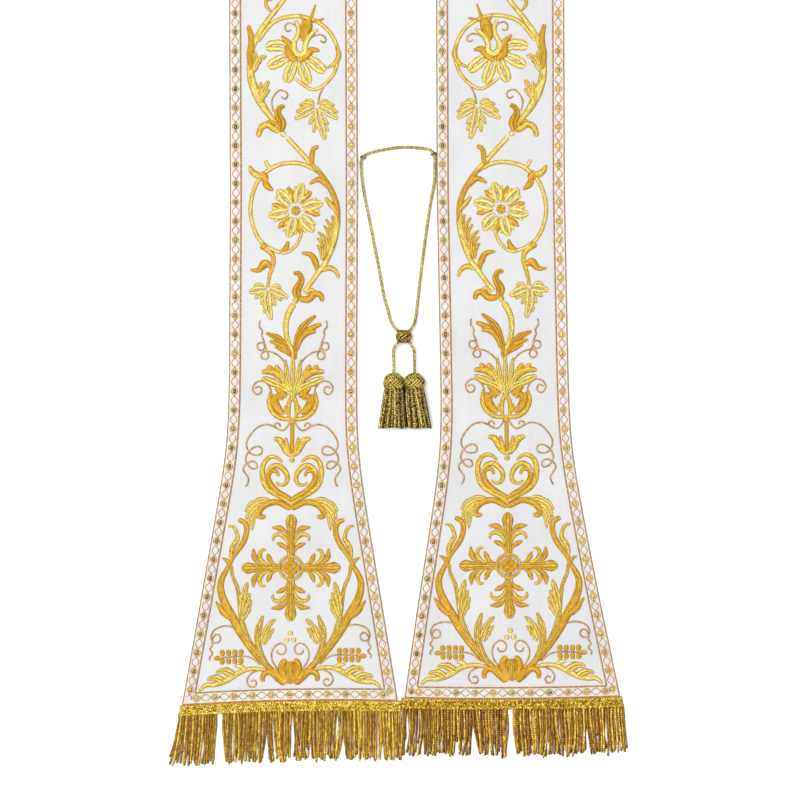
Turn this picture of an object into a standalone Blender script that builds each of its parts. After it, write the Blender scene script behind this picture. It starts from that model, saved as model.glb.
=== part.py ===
"""A Roman clerical stole laid flat, face up: two panels joined at the nape, their braid borders,
padded goldwork, bullion fringes, and a tie cord with a slide knot and two tassels.

X runs across the stole, +Y from the hems towards the nape, +Z up from the surface it lies on.
Sizes are in millimetres and become metres where a mesh is made. A place on a panel is given as
out, the distance outwards from the panel's centre line, and high, the height above its hem.
"""

import math
import random
from collections import namedtuple

import bmesh
import bpy
from mathutils import Vector

MM = 0.001
SIDES = {"left": -1, "right": 1}
GAP = 0.3  # between pieces that touch
TINY = 0.15  # half of that gap, on each side of the centre-back seam

# ---- the cut of a panel
HEM_LEVEL = -537.0  # where height 0 lies along Y, so that the whole part is centred on Y = 0
HALF_WIDTH = 64.5  # of the straight band
FLARE_START = 255.0  # the height below which the panel flares towards its hem
FLARE_SLOPE = 0.1725  # how fast each edge spreads below that height
FLARE_SOFTNESS = 20.0  # the length over which the spread begins
CLOTH = 2.0  # face cloth, interlining and back together
EDGE_ROUND = 0.5  # the turned edge's rounding
TURN_HEIGHT = 933.0  # where the band starts to turn in to the neck
TURN_RADIUS = 120.0  # of the centre line
TURN_ANGLE = math.radians(60)
HEM_FADE = 150.0  # the height at which the hem's own slant has died out

# How far each panel's centre line lies from the stole's middle.
Centre = namedtuple("Centre", "high distance")
CENTRE_LINE = {
    "left": [
        Centre(-80, 108.0),
        Centre(0, 107.3),
        Centre(98, 106.3),
        Centre(195, 105.6),
        Centre(314, 104.2),
        Centre(506, 103.2),
        Centre(698, 104.0),
        Centre(TURN_HEIGHT, 104.0),
    ],
    "right": [
        Centre(-80, 118.2),
        Centre(0, 115.3),
        Centre(98, 112.2),
        Centre(195, 110.3),
        Centre(314, 107.6),
        Centre(506, 103.8),
        Centre(698, 103.0),
        Centre(TURN_HEIGHT, 104.0),
    ],
}
# How far the hem line stands above height 0 at the panel's inner edge, middle and outer edge.
Hem = namedtuple("Hem", "inner middle outer")
HEM_LINE = {"left": Hem(0.2, 0.4, -4.4), "right": Hem(3.2, 2.2, 4.6)}

FLARE_STATIONS = [0, 30, 60, 95, 130, 165, 195, 220, 245, 275, 310]
BAND_STATIONS = [370, 440, 506, 600, 698, 815, TURN_HEIGHT]
TURN_STEPS = 5
COLUMNS = (-0.5, 0.0, 0.5)  # the shares of the half width where the hem can bend

# ---- the braid border
BRAID_WIDTH = 12.0
BRAID_EDGE = 0.5  # how far it stays inside the panel's edge
BRAID_RIM = 0.45  # thickness at its edges
BRAID_CROWN = 0.8  # and along its middle
BRAID_BASE = CLOTH + GAP

# ---- the fringe
STRANDS = 70  # on each hem
STRAND_WIDTH = 2.2
STRAND_LENGTH = 49.0
LENGTH_SPREAD = 2.5  # how unevenly the ends are cut
HEADING_DEPTH = 9.5  # of the woven strip that holds the strands
HEADING_OVERHANG = 1.5  # past the panel at each end
HEADING_LOW, HEADING_HIGH = 0.3, 2.7
STRAND_STEPS = (0.5, 1.0)  # the shares of a strand's length where it can bend
CLUMPS = (3, 4, 5, 6)  # how many neighbouring strands can draw together
CLUMP_DRAW = 0.2  # how much of the way to the middle of its clump a tip leans
PARTING_REACH = 20.0  # how far along the hem a parting pushes the strands aside
SPLAY_REACH = 9.0
# Where the fringe has fallen open, and how wide it stands open at its tips.
Parting = namedtuple("Parting", "out opening")
PARTINGS = {
    "left": [Parting(73, 7.0), Parting(22.5, 5.0), Parting(-49, 4.5)],
    "right": [Parting(-1.5, 6.5), Parting(-37, 6.0), Parting(39, 4.0), Parting(75.5, 4.0)],
}
# How far the last strands splay at the hem's two corners.
Splay = namedtuple("Splay", "inner outer")
SPLAY = {"left": Splay(1.0, 10.0), "right": Splay(1.0, 2.0)}

# ---- the tie cord, its loops, slide and tassels
CORD = 3.6
CORD_REST = CORD / 2 + 0.1  # the height of its centre where it lies on the surface
CORD_STEP = 7.4  # the length of a cord's segments
LOOP_RADIUS = 2.6  # of the thread loop that holds the cord to a panel's edge
LOOP_THREAD = 0.9
LOOP_HIGH = LOOP_RADIUS + LOOP_THREAD / 2 + 0.05
SLIDE = (7.9, 7.1, 6.5)  # half sizes of the slide knot
SLIDE_PLACE = (6.8, -172.0)
# Where the cord leaves the slide, as angles in degrees seen from above.
Exit = namedtuple("Exit", "tie tail")
SLIDE_EXITS = {"left": Exit(135, 228), "right": Exit(49, 311)}
EXIT_RUN = 3.6  # how far a cord runs straight out of the slide
# The tie's upper part, from the slide round both loops and back, as points on the surface.
Point = namedtuple("Point", "x y z")
TIE_ROUTE = [
    Point(-6.0, -157.8, 4.6),
    Point(-9.0, -146.0, 2.6),
    Point(-13.2, -131.0, CORD_REST),
    Point(-19.2, -98.4, CORD_REST),
    Point(-26.4, -61.5, CORD_REST),
    Point(-33.5, -24.9, 2.3),
    Point(-36.0, 0.0, LOOP_HIGH),
    Point(-35.2, 5.2, LOOP_HIGH),
    Point(-32.0, 9.4, LOOP_HIGH),
    Point(-26.6, 11.6, 2.9),
    Point(-16.2, 14.4, CORD_REST),
    Point(4.2, 17.4, CORD_REST),
    Point(24.6, 16.4, CORD_REST),
    Point(31.4, 15.0, 2.9),
    Point(35.3, 12.8, LOOP_HIGH),
    Point(37.4, 8.6, LOOP_HIGH),
    Point(37.6, 2.0, LOOP_HIGH),
    Point(37.2, -16.7, 2.3),
    Point(32.8, -42.0, CORD_REST),
    Point(27.7, -77.9, CORD_REST),
    Point(23.0, -114.5, CORD_REST),
    Point(19.6, -145.0, 2.6),
    Point(17.6, -157.8, 4.6),
]
LOOP_AT = {"left": 7, "right": 14}  # the points that the loops are nearest to
# A tail's bend below the slide, and how far above the tassel's head it comes straight down.
TAIL_BEND = {"left": Point(-3.7, -186.0, 6.2), "right": Point(16.9, -186.0, 6.2)}
TAIL_DROP = Point(0.0, 12.0, -1.4)
# A tassel: its head's centre and half sizes, and the outline of its skirt.
Tassel = namedtuple("Tassel", "head_x skirt_x skirt_half")
TASSELS = {"left": Tassel(-3.3, -4.6, 13.9), "right": Tassel(17.4, 22.9, 11.2)}
HEAD_Y = -218.4
HEAD = (10.1, 9.6, 8.4)  # half sizes
SKIRT_TOP, SKIRT_BOTTOM = -227.2, -262.4
SKIRT_TOP_HALF = (8.6, 6.6)  # across and up
SKIRT_BOTTOM_HIGH = 6.4
SKIRT_REST = 7.6  # the height of the skirt's middle above the surface at its end
LOCK = 2.6  # across its corners
# The rings of locks: how many, the share of the skirt's outline, and a turn of the first one.
Ring = namedtuple("Ring", "count share turn")
SKIRT_RINGS = [Ring(17, 1.0, 0.1), Ring(9, 0.5, 0.3), Ring(2, 0.12, 0.0)]

# ---- the padded goldwork
GOLD_BASE = CLOTH + GAP
GOLD_RISE = 0.45  # the height of the thinnest stroke above the cloth
GOLD_PADDING = 0.08  # how much of a stroke's width is added to that height
GOLD_STEP = 10.6  # the length of a stroke's segments
# One padded stroke: the path of its middle as (out, high), and its widths from start to end.
Stroke = namedtuple("Stroke", "path widths")
CROSS_CENTRE = (0, 133.5)
CROSS_BOSS = 12.2
CROSS_ARM = [
    Stroke([(0, 9), (0, 20), (0, 36), (0, 52)], (9, 5, 9, 3)),
]
CROSS_BRANCHES = [
    Stroke([(0, 14), (9, 30), (18, 30)], (3, 5, 2)),
    Stroke([(0, 26), (8, 37), (19, 40)], (3, 4, 2)),
]
# The stems and leaves on both sides of the panel's centre line, one side of them.
LYRE = [
    Stroke([(9, 21), (20, 33), (34, 48), (48, 66), (58, 84), (66, 100), (70, 112), (67, 125),
            (61, 137)], (5, 6, 7, 8, 6, 4)),
    Stroke([(62, 134), (58, 144), (48, 159), (44, 171), (46, 180), (53, 182)], (4, 3, 4.5, 3.5)),
    Stroke([(62, 89), (68, 93), (74, 101)], (7, 5, 1.5)),
    Stroke([(59, 137), (63, 141), (68, 143)], (4, 3, 1.5)),
    Stroke([(59, 140), (59, 153), (54, 162), (56, 171), (62, 175)], (2, 4.5, 4, 2)),
    Stroke([(26, 38), (36, 52), (43, 64), (48, 78), (51, 92), (52, 106), (54, 117), (59, 128),
            (60, 137)], (4, 4.5, 4, 3, 2.5)),
    Stroke([(51, 88), (46, 103), (43, 118)], (3, 8, 1.5)),
    Stroke([(26, 38), (32, 53), (32, 66), (28, 84)], (4, 5, 6, 1.5)),
    Stroke([(31, 60), (26, 74), (18, 82)], (3, 6, 2)),
    Stroke([(14, 26), (32, 34), (47, 30), (61, 22), (76, 18), (87, 15)], (4, 3.4, 4, 5, 1.5)),
    Stroke([(54, 26), (62, 31), (71, 31)], (3, 5, 1.5)),
    Stroke([(-2, 194), (8, 193), (20, 197), (30, 193), (31, 187), (26, 184)], (4, 6, 5, 3)),
    Stroke([(12, 196), (27, 202), (39, 195), (44, 181), (43, 166)], (3, 7, 9, 6, 2)),
    Stroke([(0, 18), (6, 31), (5, 43)], (5, 10, 7)),
    Stroke([(4, 18), (15, 26), (24, 33)], (5, 9, 4)),
    Stroke([(2, 20), (17, 22), (28, 18)], (5, 6.5, 5)),
]  # fmt: skip
HEART = [
    Stroke([(-2, 200), (8, 204), (20, 213), (27, 224), (27, 237), (20, 244), (11, 241)],
           (4, 8, 9, 5, 2.5)),
    Stroke([(26, 225), (16, 236), (6, 229), (5, 219), (14, 217)], (4, 5, 5, 4, 2)),
]  # fmt: skip
URN = [
    Stroke([(-1, 283), (12, 284), (22, 293), (24, 305), (20, 314)], (4, 8, 9, 3)),
    Stroke([(1, 284), (6, 296), (4, 306), (-1, 313)], (3, 4, 4)),
    Stroke([(0, 306), (12, 320), (30, 326)], (4, 6, 4)),
    Stroke([(0, 308), (9, 325), (20, 334), (31, 331)], (4, 6, 7, 4)),
    Stroke([(-1, 247), (7, 251), (10, 259), (17, 262)], (5, 4.5, 4)),
]
URN_STEM = Stroke([(0, 242), (0, 270), (0, 300), (0, 340)], (5, 3.4, 3.4, 5, 7, 4))
# The vine on one side only, from the urn up to the last curl above its upper scroll.
VINE = [
    Stroke([(1, 343), (4, 354), (7, 368), (6, 386), (-1, 397), (-7, 405)], (4, 5, 5, 4.5)),
    Stroke([(-7, 405), (-18, 419), (-27, 432), (-37, 450), (-43, 468), (-44, 485), (-42, 500),
            (-35, 516), (-26, 529), (-12, 544), (4, 561), (13, 572)], (4, 6, 7, 7, 6, 5, 4.5, 4)),
    Stroke([(13, 572), (29, 593), (38, 608), (43, 625), (43, 640), (41, 652), (35, 666),
            (24, 682), (10, 699), (0, 716), (-3, 734), (4, 746), (14, 744)],
           (4, 6, 8, 7, 5, 5, 4, 3)),
    Stroke([(-1, 344), (-4, 360), (-10, 374), (-22, 385)], (4, 5, 7, 2)),
    Stroke([(2, 345), (8, 355), (15, 363), (26, 368)], (4, 6, 6, 2)),
    Stroke([(-6, 402), (-3, 411), (-8, 422), (-1, 428)], (5, 7, 6, 3)),
    Stroke([(-6, 402), (-16, 403), (-23, 408), (-29, 401)], (5, 7, 5, 3)),
    Stroke([(-24, 430), (-21, 441), (-15, 449), (-8, 448)], (3, 5, 3.5, 1.5)),
    Stroke([(-27, 430), (-37, 432), (-45, 424)], (3, 5, 1.5)),
    Stroke([(-38, 452), (-38, 468), (-32, 483)], (6, 6, 2)),
    Stroke([(-39, 455), (-32, 463), (-25, 467)], (6, 6, 2)),
    Stroke([(-37, 449), (-30, 455), (-23, 456)], (4, 5, 2)),
    Stroke([(-35, 515), (-26, 522), (-16, 518)], (4, 5, 1.5)),
    Stroke([(-19, 535), (-18, 547), (-24, 555)], (3, 5, 4)),
    Stroke([(13, 570), (11, 580), (16, 589), (9, 596)], (5, 7, 6, 3)),
    Stroke([(13, 570), (25, 576), (33, 572), (35, 564)], (5, 7, 5, 3)),
    Stroke([(36, 602), (31, 613), (26, 619)], (3, 7, 3)),
    Stroke([(42, 632), (37, 643), (30, 646)], (3, 6, 3)),
    Stroke([(42, 640), (42, 660), (45, 675)], (4, 6, 4)),
    Stroke([(31, 456), (22, 448), (20, 439), (24, 425), (25, 414)], (6, 5, 3.5, 3)),
    Stroke([(21, 434), (30, 436), (35, 430), (43, 432)], (2, 7, 5, 1.5)),
    Stroke([(26, 414), (34, 412), (44, 408)], (4, 9, 3)),
    Stroke([(25, 414), (16, 408), (6, 404)], (4, 9, 3)),
    Stroke([(25, 414), (24, 400), (21, 383)], (5, 10, 2)),
    Stroke([(-28, 614), (-26, 604), (-24, 594)], (2.5, 2.5, 3)),
    Stroke([(-25, 595), (-13, 592), (-2, 584)], (4, 9, 3)),
    Stroke([(-23, 595), (-34, 592), (-43, 584)], (4, 9, 3)),
    Stroke([(-24, 595), (-27, 580), (-31, 563)], (5, 10, 2)),
]  # fmt: skip
# A scroll's round stem: its centre, the angles it starts and ends at, its radii on the way.
Scroll = namedtuple("Scroll", "out high start end radii")
SCROLLS = [
    Scroll(0.5, 493, 126, -106, (45, 45.7, 46, 44.6, 42.8, 43.5, 46, 45, 29)),
    Scroll(-8, 648.5, 15, 285, (45, 41.2, 37.2, 35.3, 35.6, 37, 38.6, 38.6, 26)),
]
SCROLL_WIDTHS = (4, 4, 3.6, 3)
LILY = [
    Stroke([(-3, 644), (10, 652), (25, 654)], (4, 10, 4)),
    Stroke([(-3, 644), (9, 640), (21, 633)], (4, 10, 4)),
    Stroke([(-3, 644), (1, 635), (4, 624)], (4, 10, 4)),
    Stroke([(-4, 644), (-9, 634), (-14, 624)], (4, 9, 4)),
    Stroke([(-5, 644), (-17, 640), (-29, 632)], (4, 9, 4)),
    Stroke([(-5, 640), (6, 647), (4, 658), (10, 666)], (5, 7, 5, 2)),
    Stroke([(-5, 640), (-16, 645), (-25, 650)], (5, 7, 2)),
    Stroke([(-4, 640), (-6, 654), (-13, 664), (-13, 677)], (5, 5, 9, 7)),
]
ROSETTE_CENTRE = (-2, 491)
ROSETTE_BOSS = 5.5
ROSETTE_PETALS = 6
PETAL = Stroke([(0, 3), (0, 14), (0, 26)], (3, 10, 3))
SEPAL = Stroke([(0, 3), (0, 14), (0, 22)], (2.5, 4, 1.5))


def clear_scene():
    for old in list(bpy.data.objects):
        bpy.data.objects.remove(old)


def finish(name, colour, roughness, metallic):
    made = bpy.data.materials.new(name)
    made.use_nodes = True
    shader = made.node_tree.nodes["Principled BSDF"]
    shader.inputs["Base Color"].default_value = (*colour, 1.0)
    shader.inputs["Roughness"].default_value = roughness
    shader.inputs["Metallic"].default_value = metallic
    return made


def solid(name, points, faces, material):
    """An object from points in millimetres and faces that close around them."""
    mesh = bpy.data.meshes.new(name)
    mesh.from_pydata([Vector(p) * MM for p in points], [], faces)
    shape = bmesh.new()
    shape.from_mesh(mesh)
    bmesh.ops.recalc_face_normals(shape, faces=shape.faces)
    shape.to_mesh(mesh)
    shape.free()
    mesh.materials.append(material)
    made = bpy.data.objects.new(name, mesh)
    bpy.context.scene.collection.objects.link(made)
    return made


def lofted(rings):
    """Points and faces of the closed solid through rings of equal count, capped at both ends."""
    count = len(rings[0])
    points = [p for ring in rings for p in ring]
    faces = []
    for row in range(len(rings) - 1):
        for k in range(count):
            here, there = row * count, (row + 1) * count
            faces.append((here + k, here + (k + 1) % count, there + (k + 1) % count, there + k))
    for base in (0, len(points) - count):
        faces += [tuple(base + k for k in face) for face in cap(count)]
    return points, faces


def cap(count):
    """Faces that close a ring: a strip from its first and last corners across it when it can be."""
    if count % 2:
        return [tuple(range(count))]
    return [(k, k + 1, count - 2 - k, count - 1 - k) for k in range(count // 2 - 1)]


def smooth(knots, share):
    """A point on the curve through the knots, at a share from 0 to 1 of the way by knot."""
    spot = min(max(share, 0.0), 1.0) * (len(knots) - 1)
    first = min(int(spot), len(knots) - 2)
    t = spot - first
    before, after = max(first - 1, 0), min(first + 2, len(knots) - 1)
    p0, p1, p2, p3 = (Vector(knots[k]) for k in (before, first, first + 1, after))
    return 0.5 * (
        2 * p1 + (p2 - p0) * t + (2 * p0 - 5 * p1 + 4 * p2 - p3) * t**2
        + (3 * p1 - p0 - 3 * p2 + p3) * t**3
    )  # fmt: skip


# ---- the panels' cut


def half_width(high):
    spread = math.log1p(math.exp((FLARE_START - high) / FLARE_SOFTNESS))
    return HALF_WIDTH + FLARE_SLOPE * FLARE_SOFTNESS * spread


def centre_distance(side, high):
    rows = CENTRE_LINE[side]
    for low, top in zip(rows, rows[1:]):
        if high <= top.high:
            break
    share = min(max((high - low.high) / (top.high - low.high), 0.0), 1.0)
    return low.distance + (top.distance - low.distance) * share


def hem_rise(side, out, high):
    """How far the hem's slant moves a point, by a parabola through the hem's three heights."""
    f = out / half_width(max(high, 0.0))
    hem = HEM_LINE[side]
    slant = (hem.outer - hem.inner) / 2
    bow = (hem.outer + hem.inner) / 2 - hem.middle
    fade = min(max(1 - high / HEM_FADE, 0.0), 1.0)
    return (hem.middle + slant * f + bow * f * f) * fade


def on_panel(side, out, high, level):
    """The point of the straight or flared part of a panel, out from its centre line."""
    x = SIDES[side] * (centre_distance(side, high) + out)
    return (x, HEM_LEVEL + high + hem_rise(side, out, high), level)


def on_turn(side, out, angle, level):
    """The point of the neck's turn, an arc about a centre that lies inwards of the panel."""
    middle = centre_distance(side, TURN_HEIGHT)
    radius = TURN_RADIUS + out
    x = middle - TURN_RADIUS + radius * math.cos(angle)
    y = HEM_LEVEL + TURN_HEIGHT + radius * math.sin(angle)
    return (SIDES[side] * x, y, level)


def on_seam(side, out, level):
    """The point where a line of the band meets the centre-back seam."""
    x, y, _ = on_turn(side, out, TURN_ANGLE, level)
    run = (abs(x) - TINY) / math.sin(TURN_ANGLE)
    return (SIDES[side] * TINY, y + run * math.cos(TURN_ANGLE), level)


def stations():
    """Functions (side, out as a share or distance, level) -> point, from the hem to the seam."""
    for high in FLARE_STATIONS + BAND_STATIONS:
        yield high, lambda side, out, level, at=high: on_panel(side, out, at, level)
    for step in range(1, TURN_STEPS + 1):
        angle = TURN_ANGLE * step / TURN_STEPS
        yield TURN_HEIGHT, lambda side, out, level, at=angle: on_turn(side, out, at, level)
    yield TURN_HEIGHT, on_seam


def make_panel(side, material):
    """The cloth: a flat wall with rounded edges, from hem to centre-back seam."""
    rings = []
    for high, place in stations():
        half = half_width(high)
        inset = half - EDGE_ROUND
        across = [(-half, EDGE_ROUND), (-inset, 0.0), *((half * c, 0.0) for c in COLUMNS)]
        across += [(inset, 0.0), (half, EDGE_ROUND)]
        ring = across + [(out, CLOTH - level) for out, level in reversed(across)]
        rings.append([place(side, out, level) for out, level in ring])
    return solid(f"panel_{side}", *lofted(rings), material)


def braid_section(inner, outer):
    """The five corners of a braid strip between two distances from the centre line."""
    middle = (inner + outer) / 2
    low, rim, crown = BRAID_BASE, BRAID_BASE + BRAID_RIM, BRAID_BASE + BRAID_CROWN
    return [(inner, low), (outer, low), (outer, rim), (middle, crown), (inner, rim)]


def make_edge_braid(side, edge, material):
    """The braid along a panel's outer or inner edge, mitred to the hem's braid."""
    sign = 1 if edge == "outer" else -1
    rings = []
    for high, place in stations():
        rim = sign * (half_width(high) - BRAID_EDGE)
        section = braid_section(rim, rim - sign * BRAID_WIDTH)
        if high == 0:
            share = [(abs(rim) - abs(out)) / BRAID_WIDTH for out, _ in section]
            start = [BRAID_EDGE + GAP + BRAID_WIDTH * s for s in share]
            ring = []
            for (out, level), up in zip(section, start):
                lean = sign * (half_width(up) - half_width(0))
                ring.append(on_panel(side, out + lean, up, level))
            rings.append(ring)
        else:
            rings.append([place(side, out, level) for out, level in section])
    return solid(f"braid_{edge}_{side}", *lofted(rings), material)


def make_hem_braid(side, material):
    """The braid along the hem, between the two mitres."""
    rings = []
    for share in (-1.0, -0.66, -0.33, 0.0, 0.33, 0.66, 1.0):
        ring = []
        for up, level in braid_section(BRAID_EDGE, BRAID_EDGE + BRAID_WIDTH):
            reach = half_width(up) - BRAID_EDGE - (up - BRAID_EDGE) - GAP
            ring.append(on_panel(side, share * reach, up, level))
        rings.append(ring)
    return solid(f"braid_hem_{side}", *lofted(rings), material)


# ---- the fringe


def strand_lean(side, out):
    """How far a strand's tip falls aside, from the partings and the splay at the corners."""
    lean = 0.0
    for parting in PARTINGS[side]:
        away = out - parting.out
        push = parting.opening / 2 * math.exp(-abs(away) / PARTING_REACH)
        lean += math.copysign(push, away)
    half = half_width(0)
    lean += SPLAY[side].outer * math.exp(-(half - out) / SPLAY_REACH)
    lean -= SPLAY[side].inner * math.exp(-(half + out) / SPLAY_REACH)
    return lean


def strand_plan(side):
    """Each strand's root, lean and length, from the inner corner to the outer one."""
    chance = random.Random(f"fringe {side}")
    reach = half_width(0) + HEADING_OVERHANG - STRAND_WIDTH / 2
    pitch = 2 * reach / (STRANDS - 1)
    plan = []
    while len(plan) < STRANDS:
        clump = min(chance.choice(CLUMPS), STRANDS - len(plan))
        middle = -reach + pitch * (len(plan) + (clump - 1) / 2)
        for _ in range(clump):
            root = -reach + pitch * len(plan)
            lean = strand_lean(side, root) + CLUMP_DRAW * (middle - root)
            length = STRAND_LENGTH + LENGTH_SPREAD * chance.uniform(-1, 1)
            plan.append((root, lean, length))
    return plan


def make_fringe(side, material):
    """The heading strip and its strands as one body: each strand grows from the strip's lower edge."""
    points, faces = [], []
    top_edge, low_edge, gaps = [], [], []

    def pair(out, high):
        """Two points, one at the strip's underside and one at its face."""
        points.append(on_panel(side, out, high, HEADING_LOW))
        points.append(on_panel(side, out, high, HEADING_HIGH))
        return len(points) - 2, len(points) - 1

    reach = half_width(0) + HEADING_OVERHANG
    for share in (-1.0, -0.6, -0.2, 0.2, 0.6, 1.0):
        top_edge.append(pair(reach * share, -GAP))
    for root, lean, length in strand_plan(side):
        rings = []
        for drop in (0.0, *STRAND_STEPS):
            out = root + lean * drop**1.3
            high = -GAP - HEADING_DEPTH - length * drop
            rings.append((pair(out - STRAND_WIDTH / 2, high), pair(out + STRAND_WIDTH / 2, high)))
        for (a, b), (c, d) in zip(rings, rings[1:]):
            faces += [(a[0], c[0], c[1], a[1]), (b[1], d[1], d[0], b[0])]
            faces += [(a[1], c[1], d[1], b[1]), (b[0], d[0], c[0], a[0])]
        a, b = rings[-1]
        faces.append((a[0], b[0], b[1], a[1]))
        gaps.append(rings[0])
        low_edge += rings[0]
    for (_, b), (c, _) in zip(gaps, gaps[1:]):
        faces.append((b[0], c[0], c[1], b[1]))
    for face in (0, 1):
        faces.append(tuple(p[face] for p in top_edge) + tuple(p[face] for p in reversed(low_edge)))
    for first, last in zip(top_edge, top_edge[1:]):
        faces.append((first[0], last[0], last[1], first[1]))
    for a, b in ((top_edge[0], low_edge[0]), (top_edge[-1], low_edge[-1])):
        faces.append((a[0], b[0], b[1], a[1]))
    return solid(f"fringe_{side}", points, faces, material)


# ---- the tie cord


def route_points(knots, step):
    """Points a step apart along the smooth curve through the knots."""
    fine = [smooth(knots, k / 400) for k in range(401)]
    length = sum((b - a).length for a, b in zip(fine, fine[1:]))
    count = max(3, round(length / step))
    kept, walked, target = [fine[0]], 0.0, length / count
    for a, b in zip(fine, fine[1:]):
        walked += (b - a).length
        if walked >= target * len(kept) - 1e-6 and len(kept) < count:
            kept.append(b)
    return kept + [fine[-1]]


def slide_exit(angle):
    """Two points straight out from the slide knot's side: where a cord ends, and a little on."""
    c, s = math.cos(math.radians(angle)), math.sin(math.radians(angle))
    side = Vector((SLIDE_PLACE[0] + SLIDE[0] * c, SLIDE_PLACE[1] + SLIDE[1] * s, SLIDE[2] + 0.1))
    normal = Vector((c / SLIDE[0], s / SLIDE[1], 0)).normalized()
    return [side + normal * GAP, side + normal * (GAP + EXIT_RUN)]


def tie_route():
    first = slide_exit(SLIDE_EXITS["left"].tie)
    last = slide_exit(SLIDE_EXITS["right"].tie)
    return route_points([*first, *TIE_ROUTE, *reversed(last)], CORD_STEP)


def tail_route(side):
    start = slide_exit(SLIDE_EXITS[side].tail)
    end = Vector((TASSELS[side].head_x, HEAD_Y + HEAD[1] + GAP, HEAD[2] + 0.1))
    knots = [*start, Vector(TAIL_BEND[side]), end + Vector(TAIL_DROP), end]
    return route_points(knots, CORD_STEP)


def make_cord(name, route, material):
    data = bpy.data.curves.new(name, "CURVE")
    data.dimensions = "3D"
    line = data.splines.new("POLY")
    line.points.add(len(route) - 1)
    for point, place in zip(line.points, route):
        point.co = (*(place * MM), 1.0)
    data.bevel_depth = CORD / 2 * MM
    data.bevel_resolution = 2
    data.use_fill_caps = True
    data.materials.append(material)
    made = bpy.data.objects.new(name, data)
    bpy.context.scene.collection.objects.link(made)
    return made


def make_loop(side, material):
    """The small thread ring at a panel's inner edge that the cord runs through."""
    knot = Vector(TIE_ROUTE[LOOP_AT[side]])
    route = tie_route()
    first, last = min(zip(route, route[1:]), key=lambda ends: ((sum(ends, Vector()) / 2) - knot).length)
    centre, along = (first + last) / 2, last - first
    bpy.ops.mesh.primitive_torus_add(
        location=centre * MM,
        rotation=along.to_track_quat("Z", "Y").to_euler(),
        major_radius=LOOP_RADIUS * MM,
        minor_radius=LOOP_THREAD / 2 * MM,
        major_segments=14,
        minor_segments=6,
    )
    made = bpy.context.object
    made.name = made.data.name = f"loop_{side}"
    made.data.materials.append(material)
    return made


def ball(name, centre, half, segments, material):
    bpy.ops.mesh.primitive_uv_sphere_add(
        segments=segments, ring_count=segments * 2 // 3, radius=1.0, location=Vector(centre) * MM
    )
    made = bpy.context.object
    made.scale = Vector(half) * MM
    bpy.ops.object.transform_apply(location=False, rotation=False, scale=True)
    made.name = made.data.name = name
    made.data.materials.append(material)
    return made


def skirt_lock(tassel, ring, turn, chance):
    """One lock of the skirt: three-sided, from inside the head to its own end."""
    side, up = math.cos(turn) * ring.share, math.sin(turn) * ring.share
    top = Vector((tassel.head_x + SKIRT_TOP_HALF[0] * side, 0, HEAD[2] + SKIRT_TOP_HALF[1] * up))
    end = Vector((tassel.skirt_x + tassel.skirt_half * side, 0, SKIRT_REST + SKIRT_BOTTOM_HIGH * up))
    length = SKIRT_TOP - SKIRT_BOTTOM - chance.uniform(0.0, 1.5)
    rings = []
    for drop in (-0.1, 0.45, 1.0):
        middle = top.lerp(end, max(drop, 0.0) ** 0.8)
        middle.y = SKIRT_TOP - length * drop
        corners = (turn + math.tau * k / 3 for k in range(3))
        rings.append([middle + Vector((math.cos(a), 0, math.sin(a))) * LOCK / 2 for a in corners])
    return lofted(rings)


def make_tassel(side, material, helpers):
    """The knotted head with the skirt's locks fused into it."""
    tassel = TASSELS[side]
    chance = random.Random(f"tassel {side}")
    head = ball(f"tassel_{side}", (tassel.head_x, HEAD_Y, HEAD[2] + 0.1), HEAD, 15, material)
    for ring in SKIRT_RINGS:
        for k in range(ring.count):
            turn = ring.turn + math.tau * k / ring.count
            lock = solid(f"lock_{side}", *skirt_lock(tassel, ring, turn, chance), material)
            add_to(helpers, lock)
    union_with(head, helpers)
    return head


def add_to(helpers, piece):
    """Moves a piece into a collection of shapes that a Boolean joins."""
    for holder in list(piece.users_collection):
        holder.objects.unlink(piece)
    helpers.objects.link(piece)
    piece.hide_render = True
    piece.display_type = "WIRE"


def union_with(piece, helpers):
    fuse = piece.modifiers.new("fuse", "BOOLEAN")
    fuse.operation = "UNION"
    fuse.operand_type = "COLLECTION"
    fuse.collection = helpers
    fuse.solver = "EXACT"


def helper_group(name):
    made = bpy.data.collections.new(name)
    bpy.context.scene.collection.children.link(made)
    return made


# ---- the padded goldwork


def along(values, share):
    """The value at a share of the way along evenly spaced ones."""
    spot = min(max(share, 0.0), 1.0) * (len(values) - 1)
    first = min(int(spot), len(values) - 2)
    return values[first] + (values[first + 1] - values[first]) * (spot - first)


def padded(side, stroke):
    """One stroke as a solid: flat below, ridged above, lower at its ends."""
    path = [(x, y, 0) for x, y in stroke.path]
    length = sum((Vector(b) - Vector(a)).length for a, b in zip(path, path[1:]))
    steps = max(2, round(length / GOLD_STEP))
    rings = []
    for k in range(steps + 1):
        share = k / steps
        ahead = smooth(path, share + 0.02) - smooth(path, share - 0.02)
        across = Vector((-ahead.y, ahead.x, 0)).normalized()
        width = along(stroke.widths, share)
        rise = (GOLD_RISE + GOLD_PADDING * width) * (0.6 if k in (0, steps) else 1.0)
        ring = []
        for reach, level in ((-0.5, 0.0), (0.5, 0.0), (0.0, rise)):
            out, high, _ = smooth(path, share) + across * width * reach
            ring.append(on_panel(side, out, high, GOLD_BASE + level))
        rings.append(ring)
    return lofted(rings)


def turned(stroke, angle, centre):
    """The stroke turned about its origin and moved to a place on the panel."""
    c, s = math.cos(angle), math.sin(angle)
    path = [(centre[0] + c * x - s * y, centre[1] + s * x + c * y) for x, y in stroke.path]
    return stroke._replace(path=path)


def flipped(stroke):
    return stroke._replace(path=[(-x, y) for x, y in stroke.path])


def both_sides(strokes):
    return [one for stroke in strokes for one in (stroke, flipped(stroke))]


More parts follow.
